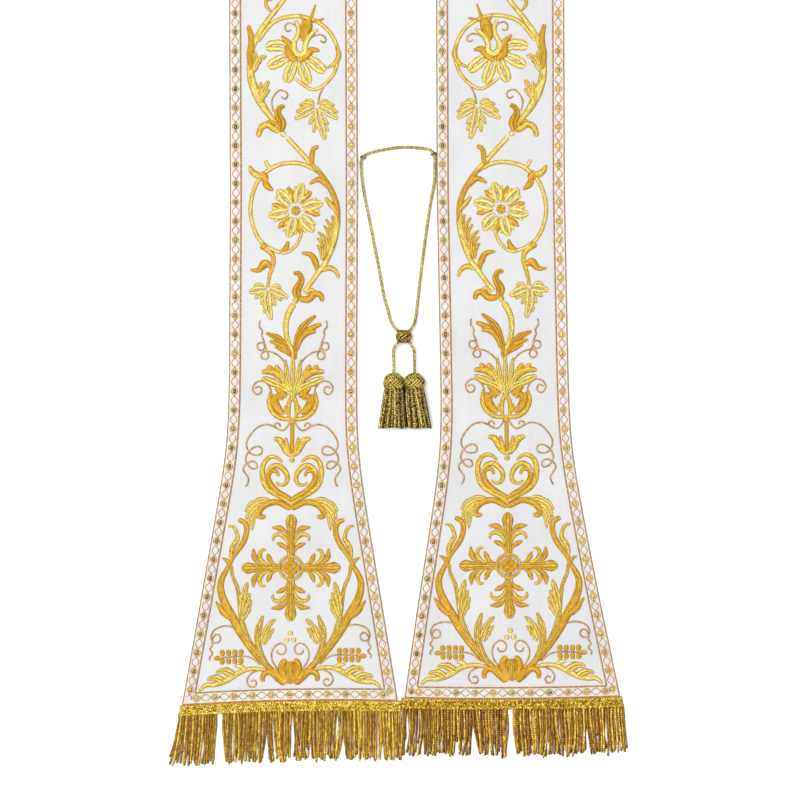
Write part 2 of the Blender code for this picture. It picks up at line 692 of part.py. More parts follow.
def around(stroke, count, centre, first=0.0):
    """The stroke repeated round a centre."""
    return [turned(stroke, math.tau * (k + first) / count, centre) for k in range(count)]


def scroll_stroke(scroll):
    path = []
    for k, radius in enumerate(scroll.radii):
        share = k / (len(scroll.radii) - 1)
        angle = math.radians(scroll.start + (scroll.end - scroll.start) * share)
        path.append((scroll.out + radius * math.cos(angle), scroll.high + radius * math.sin(angle)))
    return Stroke(path, SCROLL_WIDTHS)


def boss(side, centre, radius, sides):
    """A low round pad."""
    rings = []
    rise = GOLD_RISE + GOLD_PADDING * radius
    for share, level in ((1.0, 0.0), (0.96, rise), (0.5, rise + 0.4)):
        turn = [math.tau * (k + 0.5) / sides for k in range(sides)]
        spots = [(radius * share * math.cos(a), radius * share * math.sin(a)) for a in turn]
        rings.append(
            [on_panel(side, centre[0] + x, centre[1] + y, GOLD_BASE + level) for x, y in spots]
        )
    return lofted(rings)


def make_goldwork(name, side, shapes, material):
    """A first shape with the others fused into it."""
    made = solid(f"{name}_{side}", *shapes[0], material)
    helpers = helper_group(f"{name}_{side}_parts")
    for shape in shapes[1:]:
        add_to(helpers, solid(f"{name}_{side}_part", *shape, material))
    union_with(made, helpers)


def make_embroidery(side, material):
    cross = [one for stroke in CROSS_ARM for one in around(stroke, 4, CROSS_CENTRE)]
    for stroke in both_sides(CROSS_BRANCHES):
        cross += around(stroke, 4, CROSS_CENTRE)
    rosette = around(PETAL, ROSETTE_PETALS, ROSETTE_CENTRE)
    rosette += around(SEPAL, ROSETTE_PETALS, ROSETTE_CENTRE, 0.5)
    vine = VINE + [scroll_stroke(scroll) for scroll in SCROLLS]
    # A motif: its node's name, its strokes, and its round pads as (centre, radius, sides).
    motifs = [
        ("cross", cross, [(CROSS_CENTRE, CROSS_BOSS, 12)]),
        ("lyre", both_sides(LYRE), []),
        ("heart", both_sides(HEART), []),
        ("urn", [URN_STEM] + both_sides(URN), []),
        ("vine", vine, []),
        ("lily", LILY, []),
        ("rosette", rosette, [(ROSETTE_CENTRE, ROSETTE_BOSS, 8)]),
    ]
    for name, strokes, pads in motifs:
        shapes = [boss(side, *pad) for pad in pads] + [padded(side, one) for one in strokes]
        make_goldwork(name, side, shapes, material)


def main():
    clear_scene()
    cloth = finish("white_cloth", (0.88, 0.88, 0.91), 0.75, 0.0)
    braid = finish("braid", (0.86, 0.78, 0.62), 0.6, 0.1)
    gold = finish("gold_thread", (0.80, 0.53, 0.10), 0.38, 0.7)
    bullion = finish("bullion", (0.62, 0.43, 0.09), 0.35, 0.8)
    cord = finish("cord", (0.55, 0.45, 0.15), 0.45, 0.6)
    thread = finish("loop_thread", (0.12, 0.10, 0.10), 0.8, 0.0)
    for side in SIDES:
        make_panel(side, cloth)
        make_edge_braid(side, "outer", braid)
        make_edge_braid(side, "inner", braid)
        make_hem_braid(side, braid)
        make_fringe(side, bullion)
        make_embroidery(side, gold)
        make_loop(side, thread)
        make_tassel(side, bullion, helper_group(f"locks_{side}"))
    ball("slide", (*SLIDE_PLACE, SLIDE[2] + 0.1), SLIDE, 16, cord)
    make_cord("cord_tie", tie_route(), cord)
    for side in TASSELS:
        make_cord(f"cord_tail_{side}", tail_route(side), cord)


main()
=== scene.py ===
# %% [markdown]
# # A clerical stole, laid flat
# A stole is two bands of cloth joined at the nape, worn round a priest's neck. This one is white,
# with a braid border, padded goldwork, a bullion fringe at each hem, and a tie cord with a slide
# and two tassels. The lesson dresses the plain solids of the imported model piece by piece.
# Everything here is in metres; sizes that a maker would measure are written in millimetres and
# multiplied by MM.

# %% The frame: the plain model that the looks are built round
import math
import random
from collections import namedtuple
from contextlib import contextmanager

import bpy
import numpy as np
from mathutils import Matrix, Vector


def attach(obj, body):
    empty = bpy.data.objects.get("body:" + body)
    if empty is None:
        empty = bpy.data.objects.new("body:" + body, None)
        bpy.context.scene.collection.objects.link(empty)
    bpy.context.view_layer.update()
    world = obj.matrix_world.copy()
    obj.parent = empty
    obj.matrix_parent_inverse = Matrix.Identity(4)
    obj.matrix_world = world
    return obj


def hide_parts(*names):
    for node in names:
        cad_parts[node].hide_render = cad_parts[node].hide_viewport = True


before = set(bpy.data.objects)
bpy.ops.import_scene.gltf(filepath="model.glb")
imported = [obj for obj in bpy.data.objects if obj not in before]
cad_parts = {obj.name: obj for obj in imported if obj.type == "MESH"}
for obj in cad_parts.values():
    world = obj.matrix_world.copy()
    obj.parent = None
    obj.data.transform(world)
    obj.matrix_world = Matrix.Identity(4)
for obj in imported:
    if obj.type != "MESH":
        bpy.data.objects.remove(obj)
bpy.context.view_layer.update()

MM = 0.001
SIDES = {"left": -1, "right": 1}

# %% [markdown]
# ## The camera
# The stole lies on the floor and the camera looks straight down at it. A long lens far away keeps
# the fringe and the tassels from leaning.

# %% Camera
VIEW_CENTRE = (0.0, -0.2325)
VIEW_WIDTH = 0.794
LENS, SENSOR = 85.0, 36.0
CLOTH_TOP = 2.5 * MM  # the level at which the view is that wide

bpy.ops.object.camera_add(
    location=(*VIEW_CENTRE, VIEW_WIDTH * LENS / SENSOR + CLOTH_TOP), rotation=(0, 0, 0)
)
camera = bpy.context.object
camera.name = "camera"
camera.data.lens, camera.data.sensor_width = LENS, SENSOR
bpy.context.scene.camera = camera
print("camera height:", round(camera.location.z, 4), "m")

# %% [markdown]
# ## Lines through knots
# Stems, cords and tendrils are all drawn as a few knots, with a smooth line run through them.
# A Catmull-Rom line is used, because it passes through every knot, so a knot can be measured
# and written down. Then the line is cut into equal steps, because even steps shade evenly.


# %% A smooth line and its even steps
def smooth(knots, steps=12):
    """Points of the smooth line through the knots, so many to a span."""
    k = np.asarray(knots, float)
    p = np.vstack([k[:1], k, k[-1:]])
    t = np.arange(steps)[:, None] / steps
    spans = [
        0.5 * (2 * b + (c - a) * t + (2 * a - 5 * b + 4 * c - d) * t**2
               + (3 * b - a - 3 * c + d) * t**3)
        for a, b, c, d in zip(p, p[1:], p[2:], p[3:])
    ]
    return np.vstack([*spans, k[-1:]])


def lengths_along(line):
    return np.concatenate([[0.0], np.cumsum(np.linalg.norm(np.diff(line, axis=0), axis=1))])


def at(line, distances):
    """The line's points at these distances along it."""
    run = lengths_along(line)
    return np.column_stack([np.interp(distances, run, line[:, k]) for k in range(line.shape[1])])


def even(line, step):
    total = lengths_along(line)[-1]
    return at(line, np.linspace(0, total, max(2, round(total / step)) + 1))


print("a smooth line through 3 knots has", len(smooth([(0, 0), (1, 1), (2, 0)])), "points")

# %% [markdown]
# ## A workbox for thread
# Nearly everything on the stole is thread: satin stitches, couched cords, braid, bullion. By hand
# each would be a curve with a bevel profile. There are hundreds, each with its own width, padding
# and colour, and the padding of a satin stitch must not grow as fast as its width, so the profile
# is swept along the line point by point, and one mesh holds a whole motif. The box also keeps a
# map of each thread (across it, and along it in millimetres) and its tone, for the materials.


# %% Directions along a line, and the faces of a tube
def unit(rows):
    """Each row at length 1."""
    return rows / np.maximum(np.linalg.norm(rows, axis=1, keepdims=True), 1e-12)


def headings(line, spots):
    """The directions of the line at these distances along it."""
    return unit(at(line, np.asarray(spots) + 0.5) - at(line, np.asarray(spots) - 0.5))


def axes(ahead, up=(0.0, 0.0, 1.0)):
    """Two directions square to each heading: one to its side and one over it."""
    side = unit(np.cross(ahead, np.broadcast_to(up, ahead.shape)))
    return side, np.cross(side, ahead)


def tube_faces(rows, columns):
    """The faces of a tube with this many rings and sides, and a lid at each end."""
    faces = []
    for row in range(rows - 1):
        for j in range(columns):
            here, after = row * columns + j, row * columns + (j + 1) % columns
            faces.append((here, after, after + columns, here + columns))
    first, last = range(columns), range((rows - 1) * columns, rows * columns)
    return [*faces, tuple(first)[::-1], tuple(last)]


# %% The workbox
class Workbox:
    """Threads of one finish, gathered until they are made into one mesh."""

    def __init__(self):
        self.points, self.faces, self.map, self.count = [], [], [], 0
        self.marks = {"tone": [], "vein": []}

    def keep(self, points, faces, mapped, tone, vein=0.0):
        self.points.append(points)
        self.faces += [tuple(self.count + k for k in face) for face in faces]
        self.map.append(mapped)
        self.marks["tone"].append(np.full(len(points), tone))
        self.marks["vein"].append(np.full(len(points), vein))
        self.count += len(points)

    def tube(self, rings, section, run, tone, vein=0.0):
        """Rings of points as a closed tube, mapped across by the section and along by the run."""
        mapped = np.stack(np.broadcast_arrays(section[:, 0], run[:, None]), axis=-1)
        faces = tube_faces(*rings.shape[:2])
        self.keep(rings.reshape(-1, 3), faces, mapped.reshape(-1, 2), tone, vein)

    def sweep(self, line, section, wide, tall, tone=0.5, up=(0, 0, 1), vein=0.0):
        """The section, as rows of (across, up), carried along a line of points in millimetres."""
        line, section = np.asarray(line, float), np.asarray(section, float)
        side, over = axes(unit(np.gradient(line, axis=0)), up)
        wide, tall = (np.broadcast_to(v, len(line))[:, None] for v in (wide, tall))
        x, y = section[:, 0] * wide, section[:, 1] * tall
        rings = line[:, None] + x[..., None] * side[:, None] + y[..., None] * over[:, None]
        self.tube(rings, section, lengths_along(line), tone, vein)

    def copy(self, blank, place, tone=0.5):
        """A copy of a modelled blank's points and faces, put where place(points) says."""
        points, faces = blank
        self.keep(place(points), faces, points[:, :2], tone)

    def make(self, name, material, slot, replaces=()):
        """One piece of all that the box holds."""
        mesh = bpy.data.meshes.new(name)
        mesh.from_pydata(np.vstack(self.points) * MM, [], self.faces)
        corner = np.empty(len(mesh.loops), int)
        mesh.loops.foreach_get("vertex_index", corner)
        mapped = mesh.uv_layers.new(name="thread")
        mapped.uv.foreach_set("vector", np.vstack(self.map)[corner].ravel())
        for mark, values in self.marks.items():
            kept = mesh.attributes.new(mark, "FLOAT", "POINT")
            kept.data.foreach_set("value", np.concatenate(values))
        mesh.materials.append(material)
        piece = bpy.data.objects.new(name, mesh)
        bpy.context.scene.collection.objects.link(piece)
        return finished(piece, replaces)


# %% Starting, shaping and finishing a piece
SOFT_ANGLE = math.radians(55)  # edges blunter than this are shaded soft


def alone(piece):
    """Selects this piece and nothing else, as a click on it would."""
    bpy.ops.object.select_all(action="DESELECT")
    piece.select_set(True)
    bpy.context.view_layer.objects.active = piece


def started(primitive, **settings):
    """A new primitive, with nothing else selected."""
    bpy.ops.object.select_all(action="DESELECT")
    primitive(**settings)
    return bpy.context.object


@contextmanager
def edit_mode():
    """Edit mode with all of the active piece selected, until the indented lines are done."""
    bpy.ops.object.mode_set(mode="EDIT")
    bpy.ops.mesh.select_all(action="SELECT")
    yield
    bpy.ops.object.mode_set(mode="OBJECT")


def called(piece, name):
    """The piece under its new name."""
    piece.name = piece.data.name = name
    return piece


def finished(piece, replaces=()):
    """The last steps of every piece: outward faces, soft shading, and its place in the frame."""
    alone(piece)
    with edit_mode():
        bpy.ops.mesh.normals_make_consistent(inside=False)
    bpy.ops.object.shade_smooth_by_angle(angle=SOFT_ANGLE)
    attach(piece, "root")
    if replaces:
        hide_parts(*replaces)
    print(f"{piece.name}: {sum(len(p.vertices) - 2 for p in piece.data.polygons)} triangles")
    return piece


# %% Round sections for cords
def ring_section(count):
    """A round section of this many points, as rows of (across, up)."""
    turns = (np.arange(count) - 0.5) * math.tau / count - math.pi / 2
    return np.column_stack([np.cos(turns), np.sin(turns)])


ROUND = ring_section(6)
FINE_ROUND = ring_section(8)
print("sections of", len(ROUND), "and", len(FINE_ROUND), "points")

# %% [markdown]
# ## Materials as recipes
# A material is a small tree of nodes. The helper below adds a node, sets its numbers and links its
# inputs, so that a recipe reads like a list. Colours are written as they look on screen, from 0 to
# 255, and turned into the linear values that Blender mixes.


# %% A helper for material recipes
def tint(red, green, blue):
    """A colour as it looks on screen, in the linear values that Blender mixes."""

    def linear(v):
        v /= 255
        return v / 12.92 if v <= 0.04045 else ((v + 0.055) / 1.055) ** 2.4

    return (linear(red), linear(green), linear(blue), 1.0)


class Recipe:
    """A material and its tree of nodes. Settings of the shader itself are given by name."""

    def __init__(self, name, **fixed):
        self.material = bpy.data.materials.new(name)
        self.material.use_nodes = True
        self.tree = self.material.node_tree
        self.shader = self.tree.nodes["Principled BSDF"]
        for socket, value in fixed.items():
            self.shader.inputs[socket.replace("_", " ")].default_value = value
        self.place = self.add("TexCoord", out="Object")
        self.thread = self.add("TexCoord", out="UV")

    def add(self, kind, inputs=(), out=0, **settings):
        """A new node: its settings, what goes into its inputs, and which output is used."""
        node = self.tree.nodes.new("ShaderNode" + kind)
        for name, value in settings.items():
            setattr(node, name, value)
        for socket, value in dict(inputs).items():
            if isinstance(value, bpy.types.NodeSocket):
                self.tree.links.new(value, node.inputs[socket])
            else:
                node.inputs[socket].default_value = value
        return node.outputs[out]

    def calc(self, kind, a, b=0.0):
        return self.add("Math", {0: a, 1: b}, operation=kind)

    def weighed(self, *parts):
        """The sum of some values, each times its weight."""
        total = None
        for value, weight in parts:
            share = self.calc("MULTIPLY", value, weight)
            total = share if total is None else self.calc("ADD", total, share)
        return total

    def noise(self, size, detail=2.0, vector=None):
        """Clouds of about this size, in the units of the vector (metres unless given)."""
        where = self.place if vector is None else vector
        return self.add("TexNoise", {"Vector": where, "Scale": 1 / size, "Detail": detail})

    def stripes(self, period, direction, vector=None, wobble=0.0):
        """Waves with this period along X, Y or Z of the vector."""
        where = self.place if vector is None else vector
        scale = math.pi / (10 * period)  # Blender's waves are a tenth of pi long at scale 1
        return self.add("TexWave", {"Vector": where, "Scale": scale, "Distortion": wobble},
                        wave_type="BANDS", bands_direction=direction, out="Fac")

    def band(self, value, start, end):
        """0 below start and 1 above end, with a straight rise between."""
        return self.add("MapRange", {"Value": value, "From Min": start, "From Max": end})

    def blend(self, share, first, second):
        """The first colour, and this share of the second over it."""
        return self.add("Mix", {0: share, 6: first, 7: second}, out=2, data_type="RGBA")

    def ramp(self, value, *stops):
        """Colours by value: each stop is a value and its colour."""
        output = self.add("ValToRGB", {"Fac": value})
        elements = output.node.color_ramp.elements
        while len(elements) < len(stops):
            elements.new(0.5)
        for element, (spot, colour) in zip(elements, stops):
            element.position, element.color = spot, colour
        return output

    def mark(self, name):
        """A mark that the workbox wrote on the mesh."""
        return self.add("Attribute", out="Fac", attribute_name=name)

    def across(self):
        """How far a point lies from a thread's middle, 0 to 1."""
        return self.calc("ABSOLUTE", self.add("SeparateXYZ", {0: self.thread}))

    def along(self):
        """How far along its thread a point lies, in millimetres."""
        return self.add("SeparateXYZ", {0: self.thread}, out=1)

    def finish(self, colour, height, depth):
        """Links the colour, and a relief of this depth in metres."""
        self.tree.links.new(colour, self.shader.inputs["Base Color"])
        bump = self.add("Bump", {"Height": height, "Distance": depth})
        self.tree.links.new(bump, self.shader.inputs["Normal"])
        return self.material


print("orange thread in linear light:", [round(v, 3) for v in tint(215, 152, 38)])

# %% [markdown]
# ## The tie cord
# The tie is one length of gold twist. It leaves the slide, runs up round a thread loop on each
# panel's inner edge and comes back to the slide; two short tails go on from there to the tassels.
# Its real length is the length of this line. It is modelled as three plies that wind about each
# other, because the twist of a cord shows as soon as the light grazes it.

# %% The cord's route, the same as the solid's
CLEAR = 0.1  # between the floor and what lies on it
CORD = 3.6  # the cord's thickness
CORD_REST = CORD / 2 + CLEAR  # the height of its middle where it rests
CORD_STEP = 7.4  # between the points of its route, as in the solid
LINE_STEP = 0.8  # between the points of its line here
LOOP_HIGH = 3.1  # the height at which it goes through a thread loop
SLIDE = (7.9, 7.1, 6.5)  # half sizes
SLIDE_PLACE = (6.8, -172.0)
SLIDE_EXITS = {"left": (135, 228), "right": (49, 311)}  # in degrees: the tie's, then the tail's
GAP = 0.3  # between a cord's end and the knot that it goes into
EXIT_RUN = 3.6  # how far a cord leaves the slide in a straight line
TIE_KNOTS = [
    (-6.0, -157.8, 4.6), (-9.0, -146.0, 2.6), (-13.2, -131.0, CORD_REST),
    (-19.2, -98.4, CORD_REST), (-26.4, -61.5, CORD_REST), (-33.5, -24.9, 2.3),
    (-36.0, 0.0, LOOP_HIGH), (-35.2, 5.2, LOOP_HIGH), (-32.0, 9.4, LOOP_HIGH),
    (-26.6, 11.6, 2.9), (-16.2, 14.4, CORD_REST), (4.2, 17.4, CORD_REST),
    (24.6, 16.4, CORD_REST), (31.4, 15.0, 2.9), (35.3, 12.8, LOOP_HIGH),
    (37.4, 8.6, LOOP_HIGH), (37.6, 2.0, LOOP_HIGH), (37.2, -16.7, 2.3),
    (32.8, -42.0, CORD_REST), (27.7, -77.9, CORD_REST), (23.0, -114.5, CORD_REST),
    (19.6, -145.0, 2.6), (17.6, -157.8, 4.6),
]  # fmt: skip
Tassel = namedtuple("Tassel", "head_x skirt_x skirt_half")
TASSELS = {"left": Tassel(-3.3, -4.6, 13.9), "right": Tassel(17.4, 22.9, 11.2)}
HEAD_Y = -218.4
HEAD = (10.1, 9.6, 8.4)  # a tassel head's half sizes
TAIL_BEND = {"left": (-3.7, -186.0, 6.2), "right": (16.9, -186.0, 6.2)}
TAIL_DROP = (0.0, 12.0, -1.4)  # from a tail's end to the knot before it


def slide_exit(angle):
    """Where a cord leaves the slide's side, and a point a little further straight out."""
    c, s = math.cos(math.radians(angle)), math.sin(math.radians(angle))
    rim = Vector((SLIDE_PLACE[0] + SLIDE[0] * c, SLIDE_PLACE[1] + SLIDE[1] * s, SLIDE[2] + CLEAR))
    out = Vector((c / SLIDE[0], s / SLIDE[1], 0)).normalized()
    return [tuple(rim + out * GAP), tuple(rim + out * (GAP + EXIT_RUN))]


def tail_knots(side):
    end = Vector((TASSELS[side].head_x, HEAD_Y + HEAD[1] + GAP, HEAD[2] + CLEAR))
    start = slide_exit(SLIDE_EXITS[side][1])
    return [*start, TAIL_BEND[side], tuple(end + Vector(TAIL_DROP)), tuple(end)]


def drawn(knots):
    """The route through the knots, then the finer line that the plies wind about."""
    return even(smooth(even(smooth(knots), CORD_STEP)), LINE_STEP)


tie_knots = [*slide_exit(SLIDE_EXITS["left"][0]), *TIE_KNOTS,
             *reversed(slide_exit(SLIDE_EXITS["right"][0]))]
cord_lines = {"cord_tie": drawn(tie_knots)}
cord_lines |= {f"cord_tail_{side}": drawn(tail_knots(side)) for side in SIDES}
for name, line in cord_lines.items():
    print(name, "is", round(lengths_along(line)[-1], 1), "mm long")

# %% [markdown]
# Old gold twist is a dull yellow with a few sharp glints, because each ply is a flat metal strip
# wound on silk. Here the glints are painted highlights from fine clouds, and the brown at the sides
# of each ply is painted shade for the grooves between the plies. The stripes run on the thread's
# own map, so they follow the ply wherever it bends.


# %% Material: antique gold twist
def gold_twist(name, groove_shade, dark, middle, bright, plied=0.0):
    """Plied is how much darker the first ply is than the others."""
    r = Recipe(name, Roughness=0.4, Metallic=0.7)
    lay = r.stripes(1.3, "Y", r.thread, 0.4)
    # painted glints: fine clouds that lift the colour to its bright shade
    glint = r.noise(0.0012, 3.0)
    wear = r.noise(0.008, 2.0)
    colour = r.ramp(r.weighed((glint, 0.7), (wear, 0.3)),
                    (0.34, dark), (0.48, middle), (0.62, bright))
    first_ply = r.calc("MULTIPLY", r.band(r.mark("tone"), 0.2, 0.1), plied)
    # the sides of each ply take the groove colour as painted shade in the grooves between plies;
    # plied also darkens the first ply towards it
    colour = r.blend(r.calc("MAXIMUM", r.band(r.across(), 0.25, 0.8), first_ply), colour, groove_shade)
    return r.finish(colour, r.calc("ADD", lay, glint), 0.00025)


cord_gold = gold_twist("cord_gold", tint(82, 72, 30), tint(142, 126, 58), tint(194, 178, 102),
                       tint(236, 228, 170), 0.5)
head_gold = gold_twist("head_gold", tint(40, 27, 4), tint(142, 112, 30), tint(196, 166, 60),
                       tint(246, 228, 134))
slide_gold = gold_twist("slide_gold", tint(30, 20, 6), tint(110, 80, 22), tint(160, 126, 44),
                        tint(226, 200, 104))
# the cores' colours are painted shade: dark, for the gaps between a knot's cords
shaded_core = gold_twist("shaded_core", tint(56, 40, 12), tint(66, 48, 14), tint(86, 64, 20),
                    tint(110, 84, 30))

# %% The three plies of each cord
PLIES = 3
PLY = 0.95  # a ply's radius
PLY_LAY = 0.87  # how far its middle lies from the cord's
PLY_PITCH = 4.8  # the length of one full turn


def twisted(box, line):
    """Plies wound about a line: each is the line moved aside, round and round."""
    side, over = axes(unit(np.gradient(line, axis=0)))
    for k in range(PLIES):
        turn = (lengths_along(line) / PLY_PITCH + k / PLIES) * math.tau
        outward = np.cos(turn)[:, None] * side + np.sin(turn)[:, None] * over
        box.sweep(line + PLY_LAY * outward, ROUND, PLY, PLY, tone=k / PLIES, up=outward)


for name, line in cord_lines.items():
    box = Workbox()
    twisted(box, line)
    box.make(f"twist_{name}", cord_gold, "cord", [name])

# %% [markdown]
# ## The knots: slide and tassel heads
# Both are cores wrapped in a woven knot. The core is a sphere drawn out to the knot's size. Over
# it two families of cords cross at a slant, each made of three strands side by side, and each
# crossing goes over one and under the next. The rise and fall is a sine along the cord.

# %% Woven knots
# A weave's half sizes, its cords in each slant, a strand's radius, the rise and fall of a cord,
# and how far its three strands lie apart.
Weave = namedtuple("Weave", "half bands strand lift spread")
HEAD_WEAVE = Weave((11.0, 10.9, 8.4), 5, 1.32, 1.0, 0.28)  # half sizes, over the cords' ends
SLIDE_WEAVE = Weave((8.7, 7.8, 6.5), 3, 1.6, 1.2, 0.29)
HEAD_INSET, SLIDE_INSET = (1.0, 0.5, 1.3), (1.6, 1.6, 1.6)  # of the cores
SKEW = 1.15  # how far a cord turns about the knot from end to end, in half turns
FLATTENED = 0.8  # the height of a worn strand, to its width


def core(name, centre, half, inset):
    """The round core under a weave, painted dark as the shade in the gaps between its cords."""
    made = started(bpy.ops.mesh.primitive_uv_sphere_add, segments=28, ring_count=16, radius=1.0,
                   location=Vector(centre) * MM)
    with edit_mode():
        bpy.ops.transform.resize(value=Vector([h - i for h, i in zip(half, inset)]) * MM)
    bpy.ops.object.transform_apply(location=True)
    made.data.materials.append(shaded_core)
    return finished(called(made, name))


def woven_knot(centre, weave):
    """Cords over an ellipsoid whose axis runs along Y, in both slants, over and under."""
    box = Workbox()
    share = np.linspace(0.03, 0.97, 42)  # from one end of the axis nearly to the other
    polar = share * math.pi
    skewed = (share - 0.5) * SKEW * math.pi
    wave = np.cos((share - 0.5) * SKEW * weave.bands * math.pi)
    thin = weave.strand * (0.5 + 0.5 * np.sin(polar))
    for slant in (1, -1):
        rise = weave.lift * (0.5 + 0.5 * slant * wave)[:, None]
        reach = np.array(weave.half) - weave.strand * FLATTENED - weave.lift + rise
        for band in range(weave.bands):
            for place in (-1, 0, 1):
                start = (band + place * weave.spread) * math.tau / weave.bands
                turn = slant * skewed + start
                outward = np.column_stack([np.sin(polar) * np.cos(turn), np.cos(polar),
                                           np.sin(polar) * np.sin(turn)])
                line = np.array(centre) + outward * reach
                box.sweep(line, ROUND, thin, thin * FLATTENED, up=outward)
    return box


heads, head_cores = {}, {}
for side, tassel in TASSELS.items():
    centre = (tassel.head_x, HEAD_Y, HEAD[2] + CLEAR)
    head_cores[side] = core(f"head_core_{side}", centre, HEAD, HEAD_INSET)
    weave = woven_knot(centre, HEAD_WEAVE)
    heads[side] = weave.make(f"tassel_head_{side}", head_gold, "bullion", [f"tassel_{side}"])
slide_centre = (*SLIDE_PLACE, SLIDE[2] + CLEAR)
slide_core = core("slide_core", slide_centre, SLIDE, SLIDE_INSET)
slide = woven_knot(slide_centre, SLIDE_WEAVE).make("slide_knot", slide_gold, "cord", ["slide"])

# %% [markdown]
# ## The tassels' skirts
# A skirt is a bunch of bullion: fine coils of metal wire, cut to one length. Each strand is one
# blank, a ring extruded along in edit mode, and every copy is bent from inside the head to its own
# place in the skirt. Three rings of strands, one inside the other, hang round a plain bundle in the
# lowest tone, painted dark as the shade inside the skirt, so that there is no gap to see through.
# Where the two skirts meet they press a few strands down, in the lowest tone too, as painted shade
# between the skirts.

# %% A strand of bullion, modelled once
STRAND_SIDES, STRAND_RINGS = 6, 11
STRAND_TIP = 0.015  # the share of its length in which each end narrows


def taken(blank):
    """The points and faces of a modelled blank, which is then thrown away."""
    points = np.array([v.co for v in blank.data.vertices])
    faces = [tuple(p.vertices) for p in blank.data.polygons]
    bpy.data.objects.remove(blank)
    return points, faces


def drawn_out(height):
    """Extrudes the blank's end upwards by so much."""
    bpy.ops.mesh.extrude_region_move(TRANSFORM_OT_translate={"value": (0, 0, height)})


def strand_blank(sides, rings):
    """A straight strand of radius 1 from z = 0 to 1, with rounded ends: its points and faces."""
    blank = started(bpy.ops.mesh.primitive_circle_add, vertices=sides, radius=0.5, fill_type="NGON")
    with edit_mode():
        drawn_out(STRAND_TIP)
        bpy.ops.transform.resize(value=(2, 2, 1))
        for _ in range(rings - 1):
            drawn_out((1 - 2 * STRAND_TIP) / (rings - 1))
        drawn_out(STRAND_TIP)
        bpy.ops.transform.resize(value=(0.5, 0.5, 1))
    return taken(blank)


strand = strand_blank(STRAND_SIDES, STRAND_RINGS)
print("a strand has", len(strand[1]), "faces")


def lay_strand(box, line, radius, tone):
    """A copy of the strand bent along a line, with its map: across it, and along in millimetres."""
    points, faces = strand
    run = lengths_along(line)
    far = points[:, 2] * run[-1]
    side, over = axes(headings(line, far))
    placed = at(line, far) + radius * (points[:, :1] * side + points[:, 1:2] * over)
    box.keep(placed, faces, np.column_stack([points[:, 0], far]), tone)


# %% [markdown]
# Bullion glitters in dashes: a strand is brown where it is turned away, khaki in between, and
# bright yellow where a stretch of the coil faces the light. That light and shade are painted here:
# the dashes are painted highlights from clouds that are stretched along the strand's map, fine
# sparks are painted glints, and each strand's sides are painted dark as the shade between strands.
# Each strand starts from its own tone.


# %% Material: bullion
def bullion_material(name, shades, stops, weights, dash):
    """Shades run from the darkest to the brightest; weights are for dashes, sparks and tone."""
    r = Recipe(name, Roughness=0.34, Metallic=0.8)
    tone = r.mark("tone")
    stretched = r.add("CombineXYZ", {0: r.calc("MULTIPLY", tone, 97.0),
                                     1: r.calc("DIVIDE", r.along(), dash)})
    # painted highlights: dashes along each strand, and fine sparks
    dashes = r.noise(0.6, 2.0, stretched)
    sparks = r.noise(0.0011, 3.0)
    coil = r.stripes(0.9, "DIAGONAL", r.thread)
    mixed = r.weighed(*zip((dashes, sparks, tone), weights))
    colour = r.ramp(mixed, *zip(stops, shades))
    # painted shade: each strand's sides darkened towards the darkest shade
    edge = r.calc("MULTIPLY", r.band(r.across(), 0.5, 0.95), 0.85)
    colour = r.blend(edge, colour, shades[0])
    return r.finish(colour, r.calc("ADD", coil, r.calc("MULTIPLY", sparks, 0.6)), 0.0002)


TASSEL_SHADES = tint(32, 19, 8), tint(106, 76, 25), tint(160, 129, 53), tint(239, 226, 148)
tassel_bullion = bullion_material("tassel_bullion", TASSEL_SHADES,
                                  (0.41, 0.47, 0.53, 0.61), (0.35, 0.5, 0.15), 2.2)

# %% [markdown]
# The skirts are filled ring by ring. Chance moves each strand a little round its ring and cuts it a
# little longer or shorter. Each skirt has its own seed, so it looks tied by hand and still comes out
# the same every time.

# %% The skirts
SKIRT_TOP, SKIRT_BOTTOM = -227.2, -264.3
SKIRT_TOP_HALF = (8.6, 6.6)  # across and up, inside the head
SKIRT_BOTTOM_HIGH = 6.4  # half its height at the foot
SKIRT_REST = 7.6  # the height of its middle at the foot
SKIRT_STRAND = 1.15
SKIRT_RAGGED = 1.6  # how unevenly the strands end
SKIRT_WAVER = 0.35  # how far a strand bends to and fro
BUNDLE_HIGH = 5.2
Ring = namedtuple("Ring", "count share")
SKIRT_RINGS = [Ring(36, 1.0), Ring(26, 0.72), Ring(16, 0.42)]
PRESSED, PRESSED_REACH = 3, 3.0  # strands pressed down between the skirts, and how far they lean
PRESSED_BEND = -244.0  # where along Y they bend
LEANS = {"left": 1, "right": -1}  # which way the other skirt lies


def hanging(tassel, ring, k, chance):
    """The line of a ring's strand, from inside the head to its own place at the foot."""
    turn = math.tau * (k + chance.uniform(-0.25, 0.25)) / ring.count
    c, s = math.cos(turn) * ring.share, math.sin(turn) * ring.share
    end_y = SKIRT_BOTTOM + chance.uniform(0.0, SKIRT_RAGGED) + (1 - ring.share) * 0.8
    top = np.array([tassel.head_x + SKIRT_TOP_HALF[0] * c, SKIRT_TOP + 2.5,
                    HEAD[2] + SKIRT_TOP_HALF[1] * s])
    end = np.array([tassel.skirt_x + tassel.skirt_half * c, end_y,
                    SKIRT_REST + (SKIRT_BOTTOM_HIGH - 0.4) * s])
    fall = np.linspace(0, 1, 9)[:, None]
    line = top + (end - top) * np.hstack([fall**1.1, fall, fall**0.9])
    line[:, 0] += np.sin(fall[:, 0] * 5 + turn * 3) * SKIRT_WAVER
    return line


